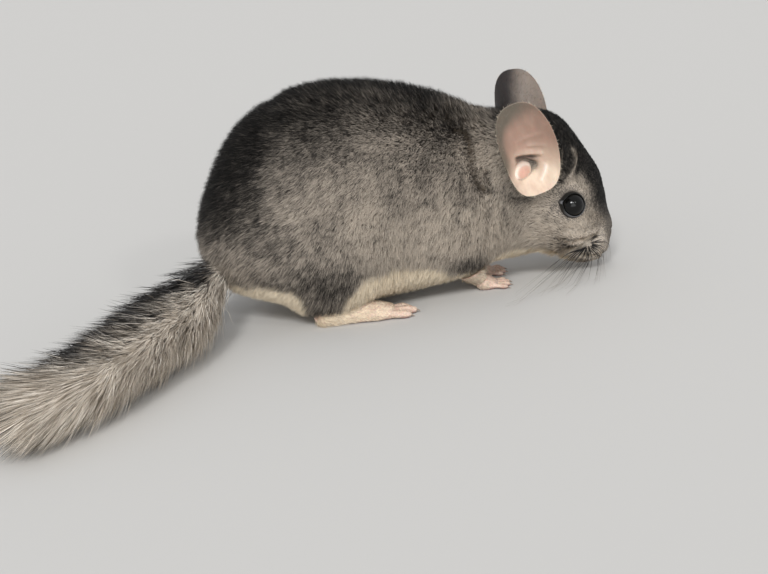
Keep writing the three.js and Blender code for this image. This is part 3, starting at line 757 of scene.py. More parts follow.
def coverWith(plan, mask, seed, name):
    random = np.random.default_rng(seed)
    weight = (cellArea * mask).ravel()
    area = weight.sum()
    cells = np.sort(random.choice(len(weight), plan["hairs"], p=weight / area))
    row = np.clip(cells // columns + random.uniform(-0.5, 0.5, len(cells)), 0, rows - 1.001)
    column = (cells % columns + random.uniform(-0.5, 0.5, len(cells))) % columns
    roots, places = onGrid(skinPoints, row, column), onGrid(surface, row, column)
    normals, lies = unit(onGrid(skinNormal, row, column)), unit(onGrid(lieGrid, row, column))
    bare = np.zeros(len(cells), bool)
    for eye in eyes.values():
        bare |= np.linalg.norm(places - eye["centre"], axis=-1) < hairless
    keep = ~bare
    roots, places, normals, lies, row, column = (
        part[keep] for part in (roots, places, normals, lies, row, column))
    count = len(roots)
    centres, clump = clumpsOf(roots, plan["clumpSpacing"], area, random)
    clumps = clump.max() + 1
    turn = (random.normal(size=clumps) * plan["tousle"])[clump]
    turn = turn + random.normal(size=count) * coat["hairTurn"]
    side = np.cross(normals, lies)
    lies = lies * np.cos(turn)[:, None] + side * np.sin(turn)[:, None]
    depth = coatDepth(places)
    lift = np.radians(np.interp(places[:, 0], coat["places"], coat["lifts"]))
    rise = (np.sin(lift) + np.sin(lift * (1 - coat["bend"]))) / 2
    length = depth / rise * (1 + coat["neckLonger"] * ramp(places[:, 0], 60, 45))
    length *= random.uniform(*coat["clumpLength"], clumps)[clump]
    length *= random.uniform(*coat["hairLength"], count)
    length = np.minimum(length, 0.55 * (eyeDistance(places) - hairless) + 0.6) + fringe(places)
    lift = lift + (random.normal(size=clumps) * coat["clumpLift"])[clump]
    lift = lift + random.normal(size=count) * coat["hairLift"]
    covered = lies * (coat["tipCover"] * length * np.cos(lift))[:, None]
    slopes = [onGrid(slope, row, column) for slope in (rowSlope, columnSlope)]
    ahead, across = (np.sum(covered * slope, axis=-1) / np.maximum(np.sum(slope * slope, axis=-1), 0.04)
                     for slope in slopes)
    tipRow, tipColumn = np.clip(row + ahead, 0, rows - 1.001), (column + across) % columns
    pull = (roots[centres] - roots) * plan["gather"]
    pull -= normals * np.sum(pull * normals, axis=-1, keepdims=True)
    tone = (random.normal(size=clumps) * coat["clumpTone"])[clump]
    tone = np.clip(tone + random.normal(size=count) * coat["hairTone"], -1.8, 1.8)
    hair = dict(
        steps=2, bend=coat["bend"], roots=roots, normals=normals, lies=lies, lengths=length, lifts=lift,
        widths=plan["width"] * random.uniform(*coat["hairWidth"], count), pull=pull,
        uv=gridUv(row, column),
        marks={"tone": tone, "dark": onGrid(darkGrid, tipRow, tipColumn),
               "cream": onGrid(creamGrid, tipRow, tipColumn), "place": places / 1000},
    )
    growHair(name, hair, coatMaterial, "body_fur", random)


onHead = ramp(surface[..., 0], headStart - 1, headStart + 1)
coverWith(trunkCoat, 1 - onHead, 1, "coat_trunk")
coverWith(headCoat, onHead * (1 + 1.5 * ramp(surface[..., 0], 86, 104)), 2, "coat_head")
print("coat grown")


# Eyes with their lids

lidPlan = dict(
    opening=5.25, thickness=0.5, outer=6.9,
    corner=0.3, cornerReach=1.2, cornerTurn=2.72, cornerWidth=0.24,  # of the rear corner, turned in radians
    rearward=0.3, rearWidth=0.9,
    tucked=(1.2, 0.25),  # how far the inner edge goes in along the eye, and outward over it
    around=96, steps=14,
)

skinTree = BVHTree.FromPolygons(
    skinPoints.reshape(-1, 3).tolist(), facingOut(skinPoints, gridFaces(rows, columns, True)).tolist())


def eyeAxes(eye):
    near = np.linalg.norm(surface - eye["centre"], axis=-1) < 10
    out = unit(surfaceNormal[near].mean(axis=0))
    across = unit(np.cross([0, 0, 1], out))
    return across, np.cross(out, across), out


def dressEye(sideName):
    eye = eyes[sideName]
    around, down = 64, 40
    turn = 2 * np.pi * np.arange(around) / around
    dip = np.pi * np.linspace(0, 1, down)
    points = np.stack([np.outer(np.sin(dip), np.cos(turn)), np.outer(np.sin(dip), np.sin(turn)),
                       np.outer(np.cos(dip), np.ones(around))], axis=-1) * eye["radius"] + eye["centre"]
    faces = facingOut(points, gridFaces(down, around, True))
    piece = makeMesh("eyeball_" + sideName, points.reshape(-1, 3), [faces])
    paint = Paint("eyeDark", Base_Color=(0.003, 0.0028, 0.0026), Roughness=0.03, Specular_IOR_Level=0.28)
    finishPiece(piece, paint.material, "eye", "eye_" + sideName)


def dressLids(sideName):
    # a soft rim that leaves the eyeball, rises a little and runs down under the face's short hair
    eye, m = eyes[sideName], lidPlan
    across, up, out = eyeAxes(eye)
    turn = 2 * np.pi * np.arange(m["around"]) / m["around"]
    forward = across if across[0] > 0 else -across
    toward = np.cos(turn)[:, None] * forward + np.sin(turn)[:, None] * up
    corner = hump(np.angle(np.exp(1j * (turn - m["cornerTurn"]))), m["cornerWidth"])
    rearward = m["rearward"] * hump(np.angle(np.exp(1j * (turn - np.pi))), m["rearWidth"])
    opening = m["opening"] + m["corner"] * corner + rearward
    height = np.sqrt(np.maximum((eye["radius"] + 0.05) ** 2 - opening**2, 1.0))
    inner = eye["centre"] + toward * opening[:, None] + out * height[:, None]
    rings = [inner - out * m["tucked"][0] + toward * m["tucked"][1]]
    reach = m["outer"] + m["cornerReach"] * corner - rearward
    for step in range(m["steps"]):
        share = step / (m["steps"] - 1)
        radius = opening + (reach - opening) * share
        above = eye["centre"] + toward * radius[:, None]
        ground = []
        for start, level in zip(above, height):
            hit = skinTree.ray_cast(Vector(start + out * 14), Vector(-out))[0]
            ground.append(np.dot(np.array(hit) - start, out) if hit is not None else level)
        lip = height + m["thickness"] * np.sin(min(share * 2.2, 1) * np.pi / 2)
        rest = np.array(ground) - 0.5
        settled = ramp(share, 0.2, 0.95)
        rings.append(above + out * (lip * (1 - settled) + rest * settled)[:, None])
    points = np.stack(rings)
    rowShare = np.repeat(np.arange(len(rings)) / len(rings), m["around"])
    low = np.tile(0.5 - 0.5 * np.sin(turn), len(rings))
    marks = {"outward": rowShare, "low": low, "corner": np.tile(corner, len(rings)),
             "place": points.reshape(-1, 3) / 1000}
    places = np.stack([np.tile(np.arange(m["around"]) / m["around"], len(rings)), rowShare], axis=-1)
    faces = facingOut(points, gridFaces(len(rings), m["around"], True), eye["centre"])
    piece = makeMesh("lids_" + sideName, points.reshape(-1, 3), [faces], marks, places)
    paint = Paint("lidSkin", Roughness=0.42, Specular_IOR_Level=0.4)
    outward, lower, corner = paint.mark("outward"), paint.mark("low"), paint.mark("corner")
    line = outward.ramp(0.12, 0.3) * outward.ramp(0.62, 0.42) * lower.ramp(0.5, 0.9)
    rim = line.between((0.006, 0.0058, 0.0055), (0.12, 0.122, 0.128))
    rim = (corner.ramp(0.6, 0.95) * outward.ramp(0.7, 0.4)).between(rim, (0.13, 0.132, 0.138))
    colour = outward.ramp(0.5, 0.8).between(rim, (0.035, 0.032, 0.03))
    wrinkle = paint.noise(paint.mark("place", "Vector"), 1500.0, 2.0)
    finishPiece(piece, paint.use(Base_Color=colour, Normal=paint.bump(wrinkle, 0.25, 0.0003)), "body_fur")


for sideName in sides:
    dressEye(sideName)
    dressLids(sideName)
print("eyes set")


# Ears: broad thin cups with a ledge over the slit of the ear's opening and a round lobe under it

earPlan = dict(
    height=46.5, width=28.5, cupDepth=10.0, thickness=0.9,
    focus=-0.42,  # where the cup is deepest, in shares of half its height
    squareness=(0.2, 0.15), rearTuck=0.13, topBack=2.5, stem=(9.0, 7.5),
    rows=64, around=144,
    right=dict(centre=(73.8, -30, 73.5), up=(-0.2, -0.2, 0.96), facing=(0.12, -0.98, -0.12), forward=1),
    left=dict(centre=(77.4, 26.5, 75.3), up=(0.03, 0.22, 0.97), facing=(0.42, 0.9, -0.12), forward=-1),
    lobe=(-4.0, -12.6, 4.5, 3.2, 3.0),  # ahead, up, both radii and rise
    canal=(2.6, -12.8, 1.9),
    # lines and places here are ahead on the ear and up it, from its middle
    ledge=[(-6.6, -5.4), (-3.0, -6.5), (0.0, -7.4), (3.0, -8.3), (6.2, -9.3)],
    ridge=[(7.5, -12.0), (5.2, -15.5), (2.4, -18.8)],
    frontLobe=(6.9, -17.8, 3.3, 1.9),
    # each fold's rise, place, slope, width and where it ends
    levelFolds=[(0.5, -2.13, -0.15, 0.9, 5.5, (5, 2.5)), (0.35, 1.5, 0.1, 1.2, 4.0, (8, 3))],
    uprightFolds=[(0.25, -3.0, 0.12, 1.1, (2, 8), (21, 12)), (0.2, 4.0, 0.2, 1.3, (3, 9), (20, 12))],
)


def earAxes(ear):
    out = unit(np.array(ear["facing"]))
    across = unit(np.cross(ear["up"], out))
    return across, np.cross(out, across), out


def earSheet(ear, shares, turns, lift):
    # one side of the cup as rows of points, with each point's place across and up the ear
    m = earPlan
    across, up, out = earAxes(ear)
    share, turn = shares[:, None], turns[None, :]
    swing, low = np.sin(turn), ramp(-np.cos(turn), 0, 1)
    rear = np.maximum(-swing * ear["forward"], 0)
    spread = np.sign(swing) * np.abs(swing) ** (1 - m["squareness"][0] - m["squareness"][1] * low)
    wide = m["width"] / 2 * share * spread * (1 - m["rearTuck"] * rear**2)
    high = m["height"] / 2 * (m["focus"] * (1 - share) + np.cos(turn) * share)
    deep = m["cupDepth"] * (share**2.2 - 0.62) - m["topBack"] * share * np.maximum(np.cos(turn), 0) + lift
    ahead = wide * ear["forward"]
    return wide, high, deep, ahead, (np.array(ear["centre"]), across, up, out)


def placeSheet(wide, high, deep, axes):
    centre, across, up, out = axes
    return centre + wide[..., None] * across + high[..., None] * up + deep[..., None] * out


def earLine(ahead, high, line):
    # how far each place on the ear lies from a line, and how far along it
    path = smoothLine([(x, z, 0) for x, z in line], 60)[:, :2]
    gaps = np.linalg.norm(np.stack([ahead, high], axis=-1)[..., None, :] - path, axis=-1)
    return gaps.min(axis=-1), gaps.argmin(axis=-1) / 59


def pocketShare(across, up):
    # where the hollow lies round the lobe: over its top and down its front
    turn = np.arctan2(up, across)
    return ramp(turn, 2.5, 1.6) * ramp(turn, -0.9, -0.1)


def sculptEar(ahead, high, share):
    # folds of the inside: what stands out toward the viewer is positive
    m = earPlan
    lobeAt, lobeUp, lobeWide, lobeHigh, lobeRise = m["lobe"]
    lobe = np.hypot((ahead - lobeAt) / lobeWide, (high - lobeUp) / lobeHigh)
    rise = lobeRise * np.sqrt(np.clip(1 - lobe**2.6, 0, 1))
    over = pocketShare(ahead - lobeAt, high - lobeUp)
    rise -= 2.4 * hump(lobe - 1.3, 0.24) * over
    hole = np.hypot(ahead - m["canal"][0], high - m["canal"][1])
    rise -= 3.0 * hump(hole, m["canal"][2])
    under, place = earLine(ahead, high, m["ledge"])
    rise -= 1.8 * hump(under, 0.9) * ramp(place, 0, 0.2) * ramp(place, 1, 0.8)
    lip, place = earLine(ahead, high - 1.9, m["ledge"])
    rise += 1.3 * hump(lip, 1.2) * ramp(place, 0, 0.3)
    gap, place = earLine(ahead, high, m["ridge"])
    rise += 1.5 * hump(gap, 0.9) * ramp(place, 0, 0.3)
    frontAt, frontUp, frontRadius, frontRise = m["frontLobe"]
    rise += frontRise * hump(np.hypot(ahead - frontAt, high - frontUp), frontRadius)
    for height, level, slope, width, middle, ends in m["levelFolds"]:
        rise += height * hump(high - level - slope * ahead, width) * ramp(np.abs(ahead - middle), *ends)
    for height, place, slope, width, foot, top in m["uprightFolds"]:
        rise += height * hump(ahead - place - slope * high, width) * ramp(high, *foot) * ramp(high, *top)
    return rise * ramp(share, 0.99, 0.86)


def dressEar(sideName):
    ear, m = earPlan[sideName], earPlan
    count, around = m["rows"], m["around"]
    shares, turns = np.linspace(0, 1, count), 2 * np.pi * np.arange(around) / around
    wide, high, deep, ahead, axes = earSheet(ear, shares, turns, m["thickness"] / 2)
    inner = placeSheet(wide, high, deep + sculptEar(ahead, high, shares[:, None]), axes)
    wideOut, highOut, deepOut, aheadOut, axes = earSheet(ear, shares[::-1], turns, -m["thickness"] / 2)
    focusUp = m["height"] / 2 * m["focus"]
    stem = m["stem"][0] * hump(np.hypot(aheadOut, highOut - focusUp + 1.5), m["stem"][1])
    outer = placeSheet(wideOut, highOut, deepOut - stem, axes)
    rim = placeSheet(wide[-1:] * 1.012, high[-1:] * 1.008, deep[-1:] - m["thickness"] / 2, axes)
    points = np.concatenate([inner, rim, outer])
    inside = np.r_[np.ones(count), 0.5, np.zeros(count)][:, None] + np.zeros((1, around))
    shareAll = np.r_[shares, 1, shares[::-1]][:, None] + np.zeros((1, around))
    aheadAll = np.concatenate([ahead, ahead[-1:], aheadOut])
    highAll = np.concatenate([high, high[-1:], highOut])
    lobe = np.hypot((aheadAll - m["lobe"][0]) / m["lobe"][2], (highAll - m["lobe"][1]) / m["lobe"][3])
    over = pocketShare(aheadAll - m["lobe"][0], highAll - m["lobe"][1])
    # the canal mark is painted shade: the ledge's shadow over the slit, shade round the lobe's pocket and
    # under its lower edge, and the dark of the canal's hole
    under, place = earLine(aheadAll, highAll + 0.7, m["ledge"])
    canal = 0.85 * hump(under, 1.25) * ramp(place, 0.0, 0.15) * ramp(place, 1.0, 0.7)
    canal += 0.45 * hump(lobe - 1.25, 0.12) * over
    canal += hump(np.hypot(aheadAll - m["canal"][0], (highAll - m["canal"][1]) / 1.4), 1.2)
    canal += 0.6 * hump(lobe - 1.12, 0.08) * ramp(aheadAll, -3, 0) * ramp(highAll, -18, -15)
    ridge, place = earLine(aheadAll, highAll, m["ridge"])
    # painted highlight along the lobe's rim and the ridge, where they stand out into the light
    brimHighlight = hump(lobe - 0.96, 0.14) + 0.9 * hump(ridge, 0.7) * ramp(place, 0, 0.3)
    edge = ramp(shareAll, 0.45, 1.0) * ramp(aheadAll, 8, -9) * ramp(highAll, -14, -2)
    marks = {
        "inside": inside.ravel(), "canal": (inside * np.clip(canal, 0, 1)).ravel(),
        "lobe": (inside * ramp(lobe, 1.0, 0.5)).ravel(), "brimHighlight": (inside * np.clip(brimHighlight, 0, 1)).ravel(),
        "spot": np.stack([aheadAll, highAll, inside * 30], axis=-1).reshape(-1, 3) / 1000,
        "low": ramp(highAll, 2, -18).ravel(), "front": ramp(aheadAll, -9, 10).ravel(),
        "rear": (edge + 0.65 * ramp(highAll, 6, 22)).ravel(),
    }
    rowPlace = np.linspace(0.01, 0.99, len(points))
    uv = np.stack([np.broadcast_to(np.arange(around) / around, points.shape[:2]),
                   np.broadcast_to(rowPlace[:, None], points.shape[:2])], axis=-1).reshape(-1, 2)
    faces = gridFaces(len(points), around, True)
    piece = makeMesh("earcup_" + sideName, points.reshape(-1, 3), [faces], marks, uv)
    finishPiece(piece, earMaterial, "ear_skin", "ear_" + sideName)
    growDown(sideName, points, uv.reshape(*points.shape[:2], 2))


earDown = dict(hairs=4200, firstRow=52, lastRow=112, length=1.7, lift=(20, 40), width=0.13)


def growDown(sideName, points, uv):
    # sparse fine hair on the rim and the back of an ear, lying toward its edge
    m, random, rim = earDown, np.random.default_rng(51), earPlan["rows"]
    count = m["hairs"]
    row = random.integers(m["firstRow"], m["lastRow"], count)
    column = random.integers(0, earPlan["around"], count)
    normals, slope = gridNormals(points)[row, column], np.gradient(points, axis=0)[row, column]
    lies = slope * np.sign(rim + 0.5 - row)[:, None] + 0.1 * random.normal(size=(count, 3))
    lies = unit(lies - normals * np.sum(lies * normals, axis=-1, keepdims=True))
    place = points[row, column]
    hair = dict(
        steps=2, bend=0.4, roots=place, normals=normals, lies=lies, uv=uv[row, column],
        lengths=m["length"] * random.uniform(0.6, 1.1, count),
        lifts=np.radians(random.uniform(*m["lift"], count)), widths=np.full(count, m["width"]),
        marks={"tone": random.normal(size=count) * 0.4, "dark": np.where(row > rim, 0.9, 0.0),
               "cream": np.where(row > rim, 0.0, 0.5), "place": place / 1000},
    )
    growHair("down_ear_" + sideName, hair, coatMaterial, "body_fur", random)


def earPaint():
    paint = Paint("earSkin", Roughness=0.55, Specular_IOR_Level=0.25,
                  Subsurface_Weight=0.12, Subsurface_Scale=0.002)
    inside, canal, low, rear, lobe, front, brimHighlight = (
        paint.mark(key) for key in ("inside", "canal", "low", "rear", "lobe", "front", "brimHighlight"))
    spot = paint.mark("spot", "Vector")
    blotch = paint.noise(spot, 120.0, 3.0, 0.6)
    veins = paint.noise(spot.stretch((1.0, 0.35, 1.0)), 420.0, 2.0)
    pink = low.between((0.37, 0.25, 0.195), (0.72, 0.585, 0.46))
    pink = lobe.between(pink, (0.66, 0.40, 0.31))
    # painted highlight on the lobe's rim and the ridge
    pink = brimHighlight.between(pink, (0.88, 0.76, 0.66))
    pink = blotch.ramp(0.4, 0.8, 0.0, 0.5).between(pink, (0.46, 0.28, 0.22))
    rimmed = (rear + 0.4 * (blotch - 0.5)).ramp(0.1, 1.0).between(pink, (0.17, 0.145, 0.115))
    # painted shade, near black-brown, under the ledge, round the lobe and in the canal's hole
    bright = canal.between(rimmed, (0.06, 0.042, 0.038))
    back = (front + 0.5 * (blotch - 0.5)).ramp(0.2, 1.0)
    back = back.between((0.032, 0.027, 0.026), (0.22, 0.18, 0.15))
    whole = inside.ramp(0.4, 0.6).between(back, bright).shaded(veins.ramp(0.3, 0.7, 0.95, 1.04))
    pores = paint.noise(spot, 2200.0, 2.0)
    return paint.use(Base_Color=whole, Normal=paint.bump(pores + veins, 0.25, 0.0003))


earMaterial = earPaint()
for sideName in sides:
    dressEar(sideName)
print("ears set")


# Feet: the solids' feet rounded off, with creases and short pale hair on top, and a claw on each toe

footPlan = dict(voxel=0.42, passes=5, crease=0.09, creaseStep=1.5, creased=(18, 4), floor=0.02)


def roundedSolid(nodes, voxel, passes):
    joined = []
    for node in nodes:
        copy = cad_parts[node].copy()
        copy.data = copy.data.copy()
        copy.parent = None
        bpy.context.scene.collection.objects.link(copy)
        joined.append(copy)
    with bpy.context.temp_override(active_object=joined[0], selected_editable_objects=joined):
        if len(joined) > 1:
            bpy.ops.object.join()
    whole = joined[0]
    remesh = whole.modifiers.new("even", "REMESH")
    remesh.mode, remesh.voxel_size = "VOXEL", voxel / 1000
    settle = whole.modifiers.new("soften", "SMOOTH")
    settle.factor, settle.iterations = 0.5, passes
    evaluated = whole.evaluated_get(bpy.context.evaluated_depsgraph_get())
    mesh = bpy.data.meshes.new_from_object(evaluated)
    points = np.zeros(len(mesh.vertices) * 3)
    mesh.vertices.foreach_get("co", points)
    mesh.calc_loop_triangles()
    corners = np.zeros(len(mesh.loop_triangles) * 3, int)
    mesh.loop_triangles.foreach_get("vertices", corners)
    bpy.data.objects.remove(whole)
    bpy.data.meshes.remove(mesh)
    return fromFrame(points.reshape(-1, 3)), corners.reshape(-1, 3)


def pointNormals(points, triangles):
    a, b, c = (points[triangles[:, i]] for i in range(3))
    flat = np.cross(b - a, c - a)
    total = np.zeros_like(points)
    for i in range(3):
        np.add.at(total, triangles[:, i], flat)
    return unit(total)


def pawPaint():
    paint = Paint("pawSkin", Roughness=0.6, Specular_IOR_Level=0.3,
                  Subsurface_Weight=0.1, Subsurface_Scale=0.0015)
    place, sole = paint.mark("place", "Vector"), paint.mark("sole")
    blotch = paint.noise(place, 260.0, 3.0)
    scales = paint.node("TexVoronoi", {}, {"Vector": place, "Scale": 1100.0}, "Distance")
    pink = blotch.ramp(0.3, 0.7).between((0.54, 0.38, 0.30), (0.70, 0.53, 0.43))
    colour = sole.between(pink, (0.30, 0.19, 0.165))
    colour = colour.shaded(scales.ramp(0.0, 0.7, 0.82, 1.1))
    return paint.use(Base_Color=colour, Normal=paint.bump(scales, 0.5, 0.0004))


pawMaterial = pawPaint()
feet = {}


def dressPaw(name, nodes):
    points, triangles = roundedSolid(nodes, footPlan["voxel"], footPlan["passes"])
    normals = pointNormals(points, triangles)
    low, high = points.min(axis=0), points.max(axis=0)
    middle = (low + high) / 2
    x, y, z = points.T
    toes = ramp(high[0] - x, *footPlan["creased"])
    wrinkles = np.sin(x * 2 * np.pi / footPlan["creaseStep"]) * toes * ramp(normals[:, 2], 0, 0.6)
    points = points + normals * (footPlan["crease"] * wrinkles)[:, None]
    points[:, 2] = np.maximum(points[:, 2], footPlan["floor"])
    marks = {"place": points / 1000, "sole": ramp(z, 2.0, 0.6)}
    around = np.arctan2(y - middle[1], z - low[2] - 2) / (2 * np.pi) + 0.5
    uv = np.stack([around, 0.02 + 0.96 * (x - low[0]) / (high[0] - low[0])], axis=-1)
    piece = makeMesh(name, points, [triangles], marks, uv)
    feet[name] = dict(points=points, triangles=triangles, normals=normals, uv=uv)
    finishPiece(piece, pawMaterial, "paw_skin", *nodes)


def furPaw(name, plan, seed):
    # short hair over the top and sides of a foot, longest at the heel, where it meets the coat
    foot, random, count = feet[name], np.random.default_rng(seed), plan["hairs"]
    corners = foot["points"][foot["triangles"]]
    area = np.linalg.norm(np.cross(corners[:, 1] - corners[:, 0], corners[:, 2] - corners[:, 0]), axis=1) / 2
    weight = area * ramp(corners[..., 2].mean(axis=1), 0.9, 2.0)
    chosen = random.choice(len(weight), count, p=weight / weight.sum())
    share = random.dirichlet((1, 1, 1), count)[..., None]
    roots, normals, uv = (np.sum(foot[key][foot["triangles"][chosen]] * share, axis=1)
                          for key in ("points", "normals", "uv"))
    normals = unit(normals)
    lies = np.array([1.0, 0, -0.3]) + 0.16 * random.normal(size=(count, 3))
    lies = unit(lies - normals * np.sum(lies * normals, axis=-1, keepdims=True))
    heel, toe = foot["points"][:, 0].min(), foot["points"][:, 0].max()
    length = np.interp(roots[:, 0], [heel, heel + 12, toe - 14, toe - 2], plan["lengths"])
    _, clump = clumpsOf(roots, 1.1, weight.sum(), random)
    tone = (random.normal(size=clump.max() + 1) * 0.4)[clump]
    tone = np.clip(tone + random.normal(size=count) * 0.6, -1.6, 1.6)
    hair = dict(
        steps=2, bend=0.5, roots=roots, normals=normals, lies=lies,
        lengths=length * random.uniform(0.75, 1.1, count),
        lifts=np.radians(30 + 5 * random.normal(size=count)),
        widths=0.2 * random.uniform(0.7, 1.3, count), uv=uv * 0.96 + 0.02,
        marks={"tone": tone, "dark": np.full(count, plan["dark"]), "cream": np.full(count, plan["cream"]),
               "place": roots / 1000},
    )
    growHair("fur_" + name, hair, coatMaterial, "body_fur", random)


def clawPaint():
    paint = Paint("clawHorn", Roughness=0.4, Specular_IOR_Level=0.45)
    colour = paint.mark("along").ramp(0.1, 0.9).between((0.16, 0.12, 0.095), (0.34, 0.28, 0.23))
    return paint.use(Base_Color=colour)


def dressClaws(name, toes, material):
    # toes holds each claw's root, heading in degrees, length and thickness
    points, faces, along = [], [], []
    rings, around, up = 9, 10, np.array([0, 0, 1])
    share = np.linspace(0, 1, rings)[:, None]
    turn = 2 * np.pi * np.arange(around)[:, None] / around
    for root, heading, length, thick in toes:
        ahead = np.array([math.cos(math.radians(heading)), math.sin(math.radians(heading)), 0])
        side = np.array([-ahead[1], ahead[0], 0])
        line = np.array(root) + ahead * length * share + up * (0.18 * share - 0.5 * share**2) * length
        line[:, 2] = np.maximum(line[:, 2], 0.25 * thick)
        size = thick * np.sqrt(1 - share**1.6) + 0.03
        ring = side * np.cos(turn) * 0.75 + up * np.sin(turn)
        faces.append(gridFaces(rings, around, True) + rings * around * len(points))
        points.append((line[:, None] + size[:, None] * ring[None]).reshape(-1, 3))
        along.append(np.repeat(share[:, 0], around))
    piece = makeMesh(name, np.vstack(points), [np.vstack(faces)], {"along": np.concatenate(along)})
    finishPiece(piece, material, "paw_skin")


hindToes = [(-3.9, -0.5, -7, 11.5, 2.35), (0, 1, 1, 13, 2.5), (3.9, -0.5, 9, 11.5, 2.35),
            (-6.1, -9, -14, 7.5, 1.7)]
foreToes = [(dy, 3.4, 6 * dy, 8.4 * (1 - abs(dy) / 14), 1.55) for dy in (-3.6, -1.2, 1.2, 3.6)]
hindFur = dict(hairs=8500, lengths=(5.0, 3.4, 1.8, 1.1), dark=0.0, cream=1.0)
foreFur = dict(hairs=4500, lengths=(2.6, 2.2, 1.3, 0.9), dark=0.15, cream=0.6)


def toeTips(root, side, toes, clawLength):
    # each toe is given by its place across and ahead, splay in degrees, length and thickness
    tips = []
    for across, ahead, splay, length, thick in toes:
        turn = math.radians(side * splay)
        x = root[0] + ahead + math.cos(turn) * length * 0.92
        y = side * (root[1] + across) + math.sin(turn) * length * 0.92
        tips.append(((x, y, thick * 0.72), side * splay, clawLength, thick * 0.24))
    return tips


horn = clawPaint()
for sideName, side in sides.items():
    dressPaw("hindpaw_" + sideName, ["hind_foot_" + sideName])
    dressPaw("forefoot_" + sideName, ["forepaw_" + sideName, "foreleg_" + sideName])
    furPaw("hindpaw_" + sideName, hindFur, 41)
    furPaw("forefoot_" + sideName, foreFur, 42)
    dressClaws("hindclaws_" + sideName, toeTips((-1, 31.5), side, hindToes, 3.0), horn)
    dressClaws("foreclaws_" + sideName, toeTips((50, 10), side, foreToes, 2.2), horn)
print("feet set")


# Tail: a slim core with a brush of long hair, dark along its top and pale beneath

tailPlan = dict(
    line=[(-66, -1, 32), (-74, -8, 28), (-82, -16, 26), (-93, -40, 21), (-104, -62, 19.5),
          (-118, -87, 18.5), (-132, -109, 18), (-147, -125, 17.5)],
    core=(7.0, 3.2), coreArea=5184, around=40, rings=90,
    hairs=37500, length=31.0, lift=(30, 40), width=0.36, steps=3,
    clumpSpacing=2.5, gather=0.28, clumpTousle=0.11, hairTousle=0.09,
    clumpLength=(0.82, 1.05), hairLength=(0.7, 1.12),
    tipHairs=7,  # one hair in this many is added to those at the tip
    rootDark=0.55,
    limit=38000,
    across=[-0.85, -0.52, 0.0, 0.55],  # from the tail's pale right side to its dark left side
    darkness=[0.0, 0.12, 0.58, 0.95],
)


def tailFrame(share):
    line = smoothLine(tailPlan["line"], 200)
    where = share * 199
    at = np.column_stack([np.interp(where, np.arange(200), column) for column in line.T])
    slope = np.gradient(line, axis=0)
    ahead = unit(np.column_stack([np.interp(where, np.arange(200), column) for column in slope.T]))
    side = unit(np.cross(ahead, [0, 0, 1]))
    return at, ahead, side, np.cross(side, ahead)


def tailRadius(share):
    m = tailPlan["core"]
    return (m[0] + (m[1] - m[0]) * share) * np.sqrt(np.clip(1 - ramp(share, 0.93, 1.01), 0, 1)) + 0.05


def brushPaint():
    paint = Paint("brushCoat", Roughness=0.6, Specular_IOR_Level=0.3, Sheen_Weight=0.1, Sheen_Roughness=0.5)
    along, tone, dark = (paint.mark(key) for key in ("along", "tone", "dark"))
    mottle = paint.noise(paint.mark("place", "Vector"), 180.0, 3.0)
    black = tone.ramp(-1.2, 1.2).between((0.016, 0.014, 0.013), (0.06, 0.052, 0.045))
    beige = tone.ramp(-1.2, 1.2).between((0.50, 0.43, 0.35), (1.0, 0.92, 0.81))
    mixed = (dark + 0.4 * (mottle - 0.5) + 0.2 * tone).ramp(0.35, 0.65).between(beige, black)
    rooted = along.ramp(0.02, 0.3).between(mixed.shaded(0.7), mixed)
    return paint.use(Base_Color=rooted)


def dressTail():
    m = tailPlan
    around, rings = m["around"], m["rings"]
    share = np.linspace(0, 1, rings)
    at, ahead, side, up = tailFrame(share)
    turn = 2 * np.pi * np.arange(around) / around
    radius = tailRadius(share)[:, None, None]
    points = (at[:, None] + radius * (np.cos(turn)[None, :, None] * up[:, None]
                                      + np.sin(turn)[None, :, None] * side[:, None]))
    uv = np.stack([np.broadcast_to(turn / (2 * np.pi), points.shape[:2]),
                   np.broadcast_to(share[:, None], points.shape[:2])], axis=-1).reshape(-1, 2)
    flat = points.reshape(-1, 3)
    marks = {"dark": np.full(len(flat), 0.6), "cream": np.zeros(len(flat)), "place": flat / 1000}
    core = makeMesh("tail_core", flat, [gridFaces(rings, around, True)], marks, uv)
    finishPiece(core, skinPaint(), "tail_fur", "tail")


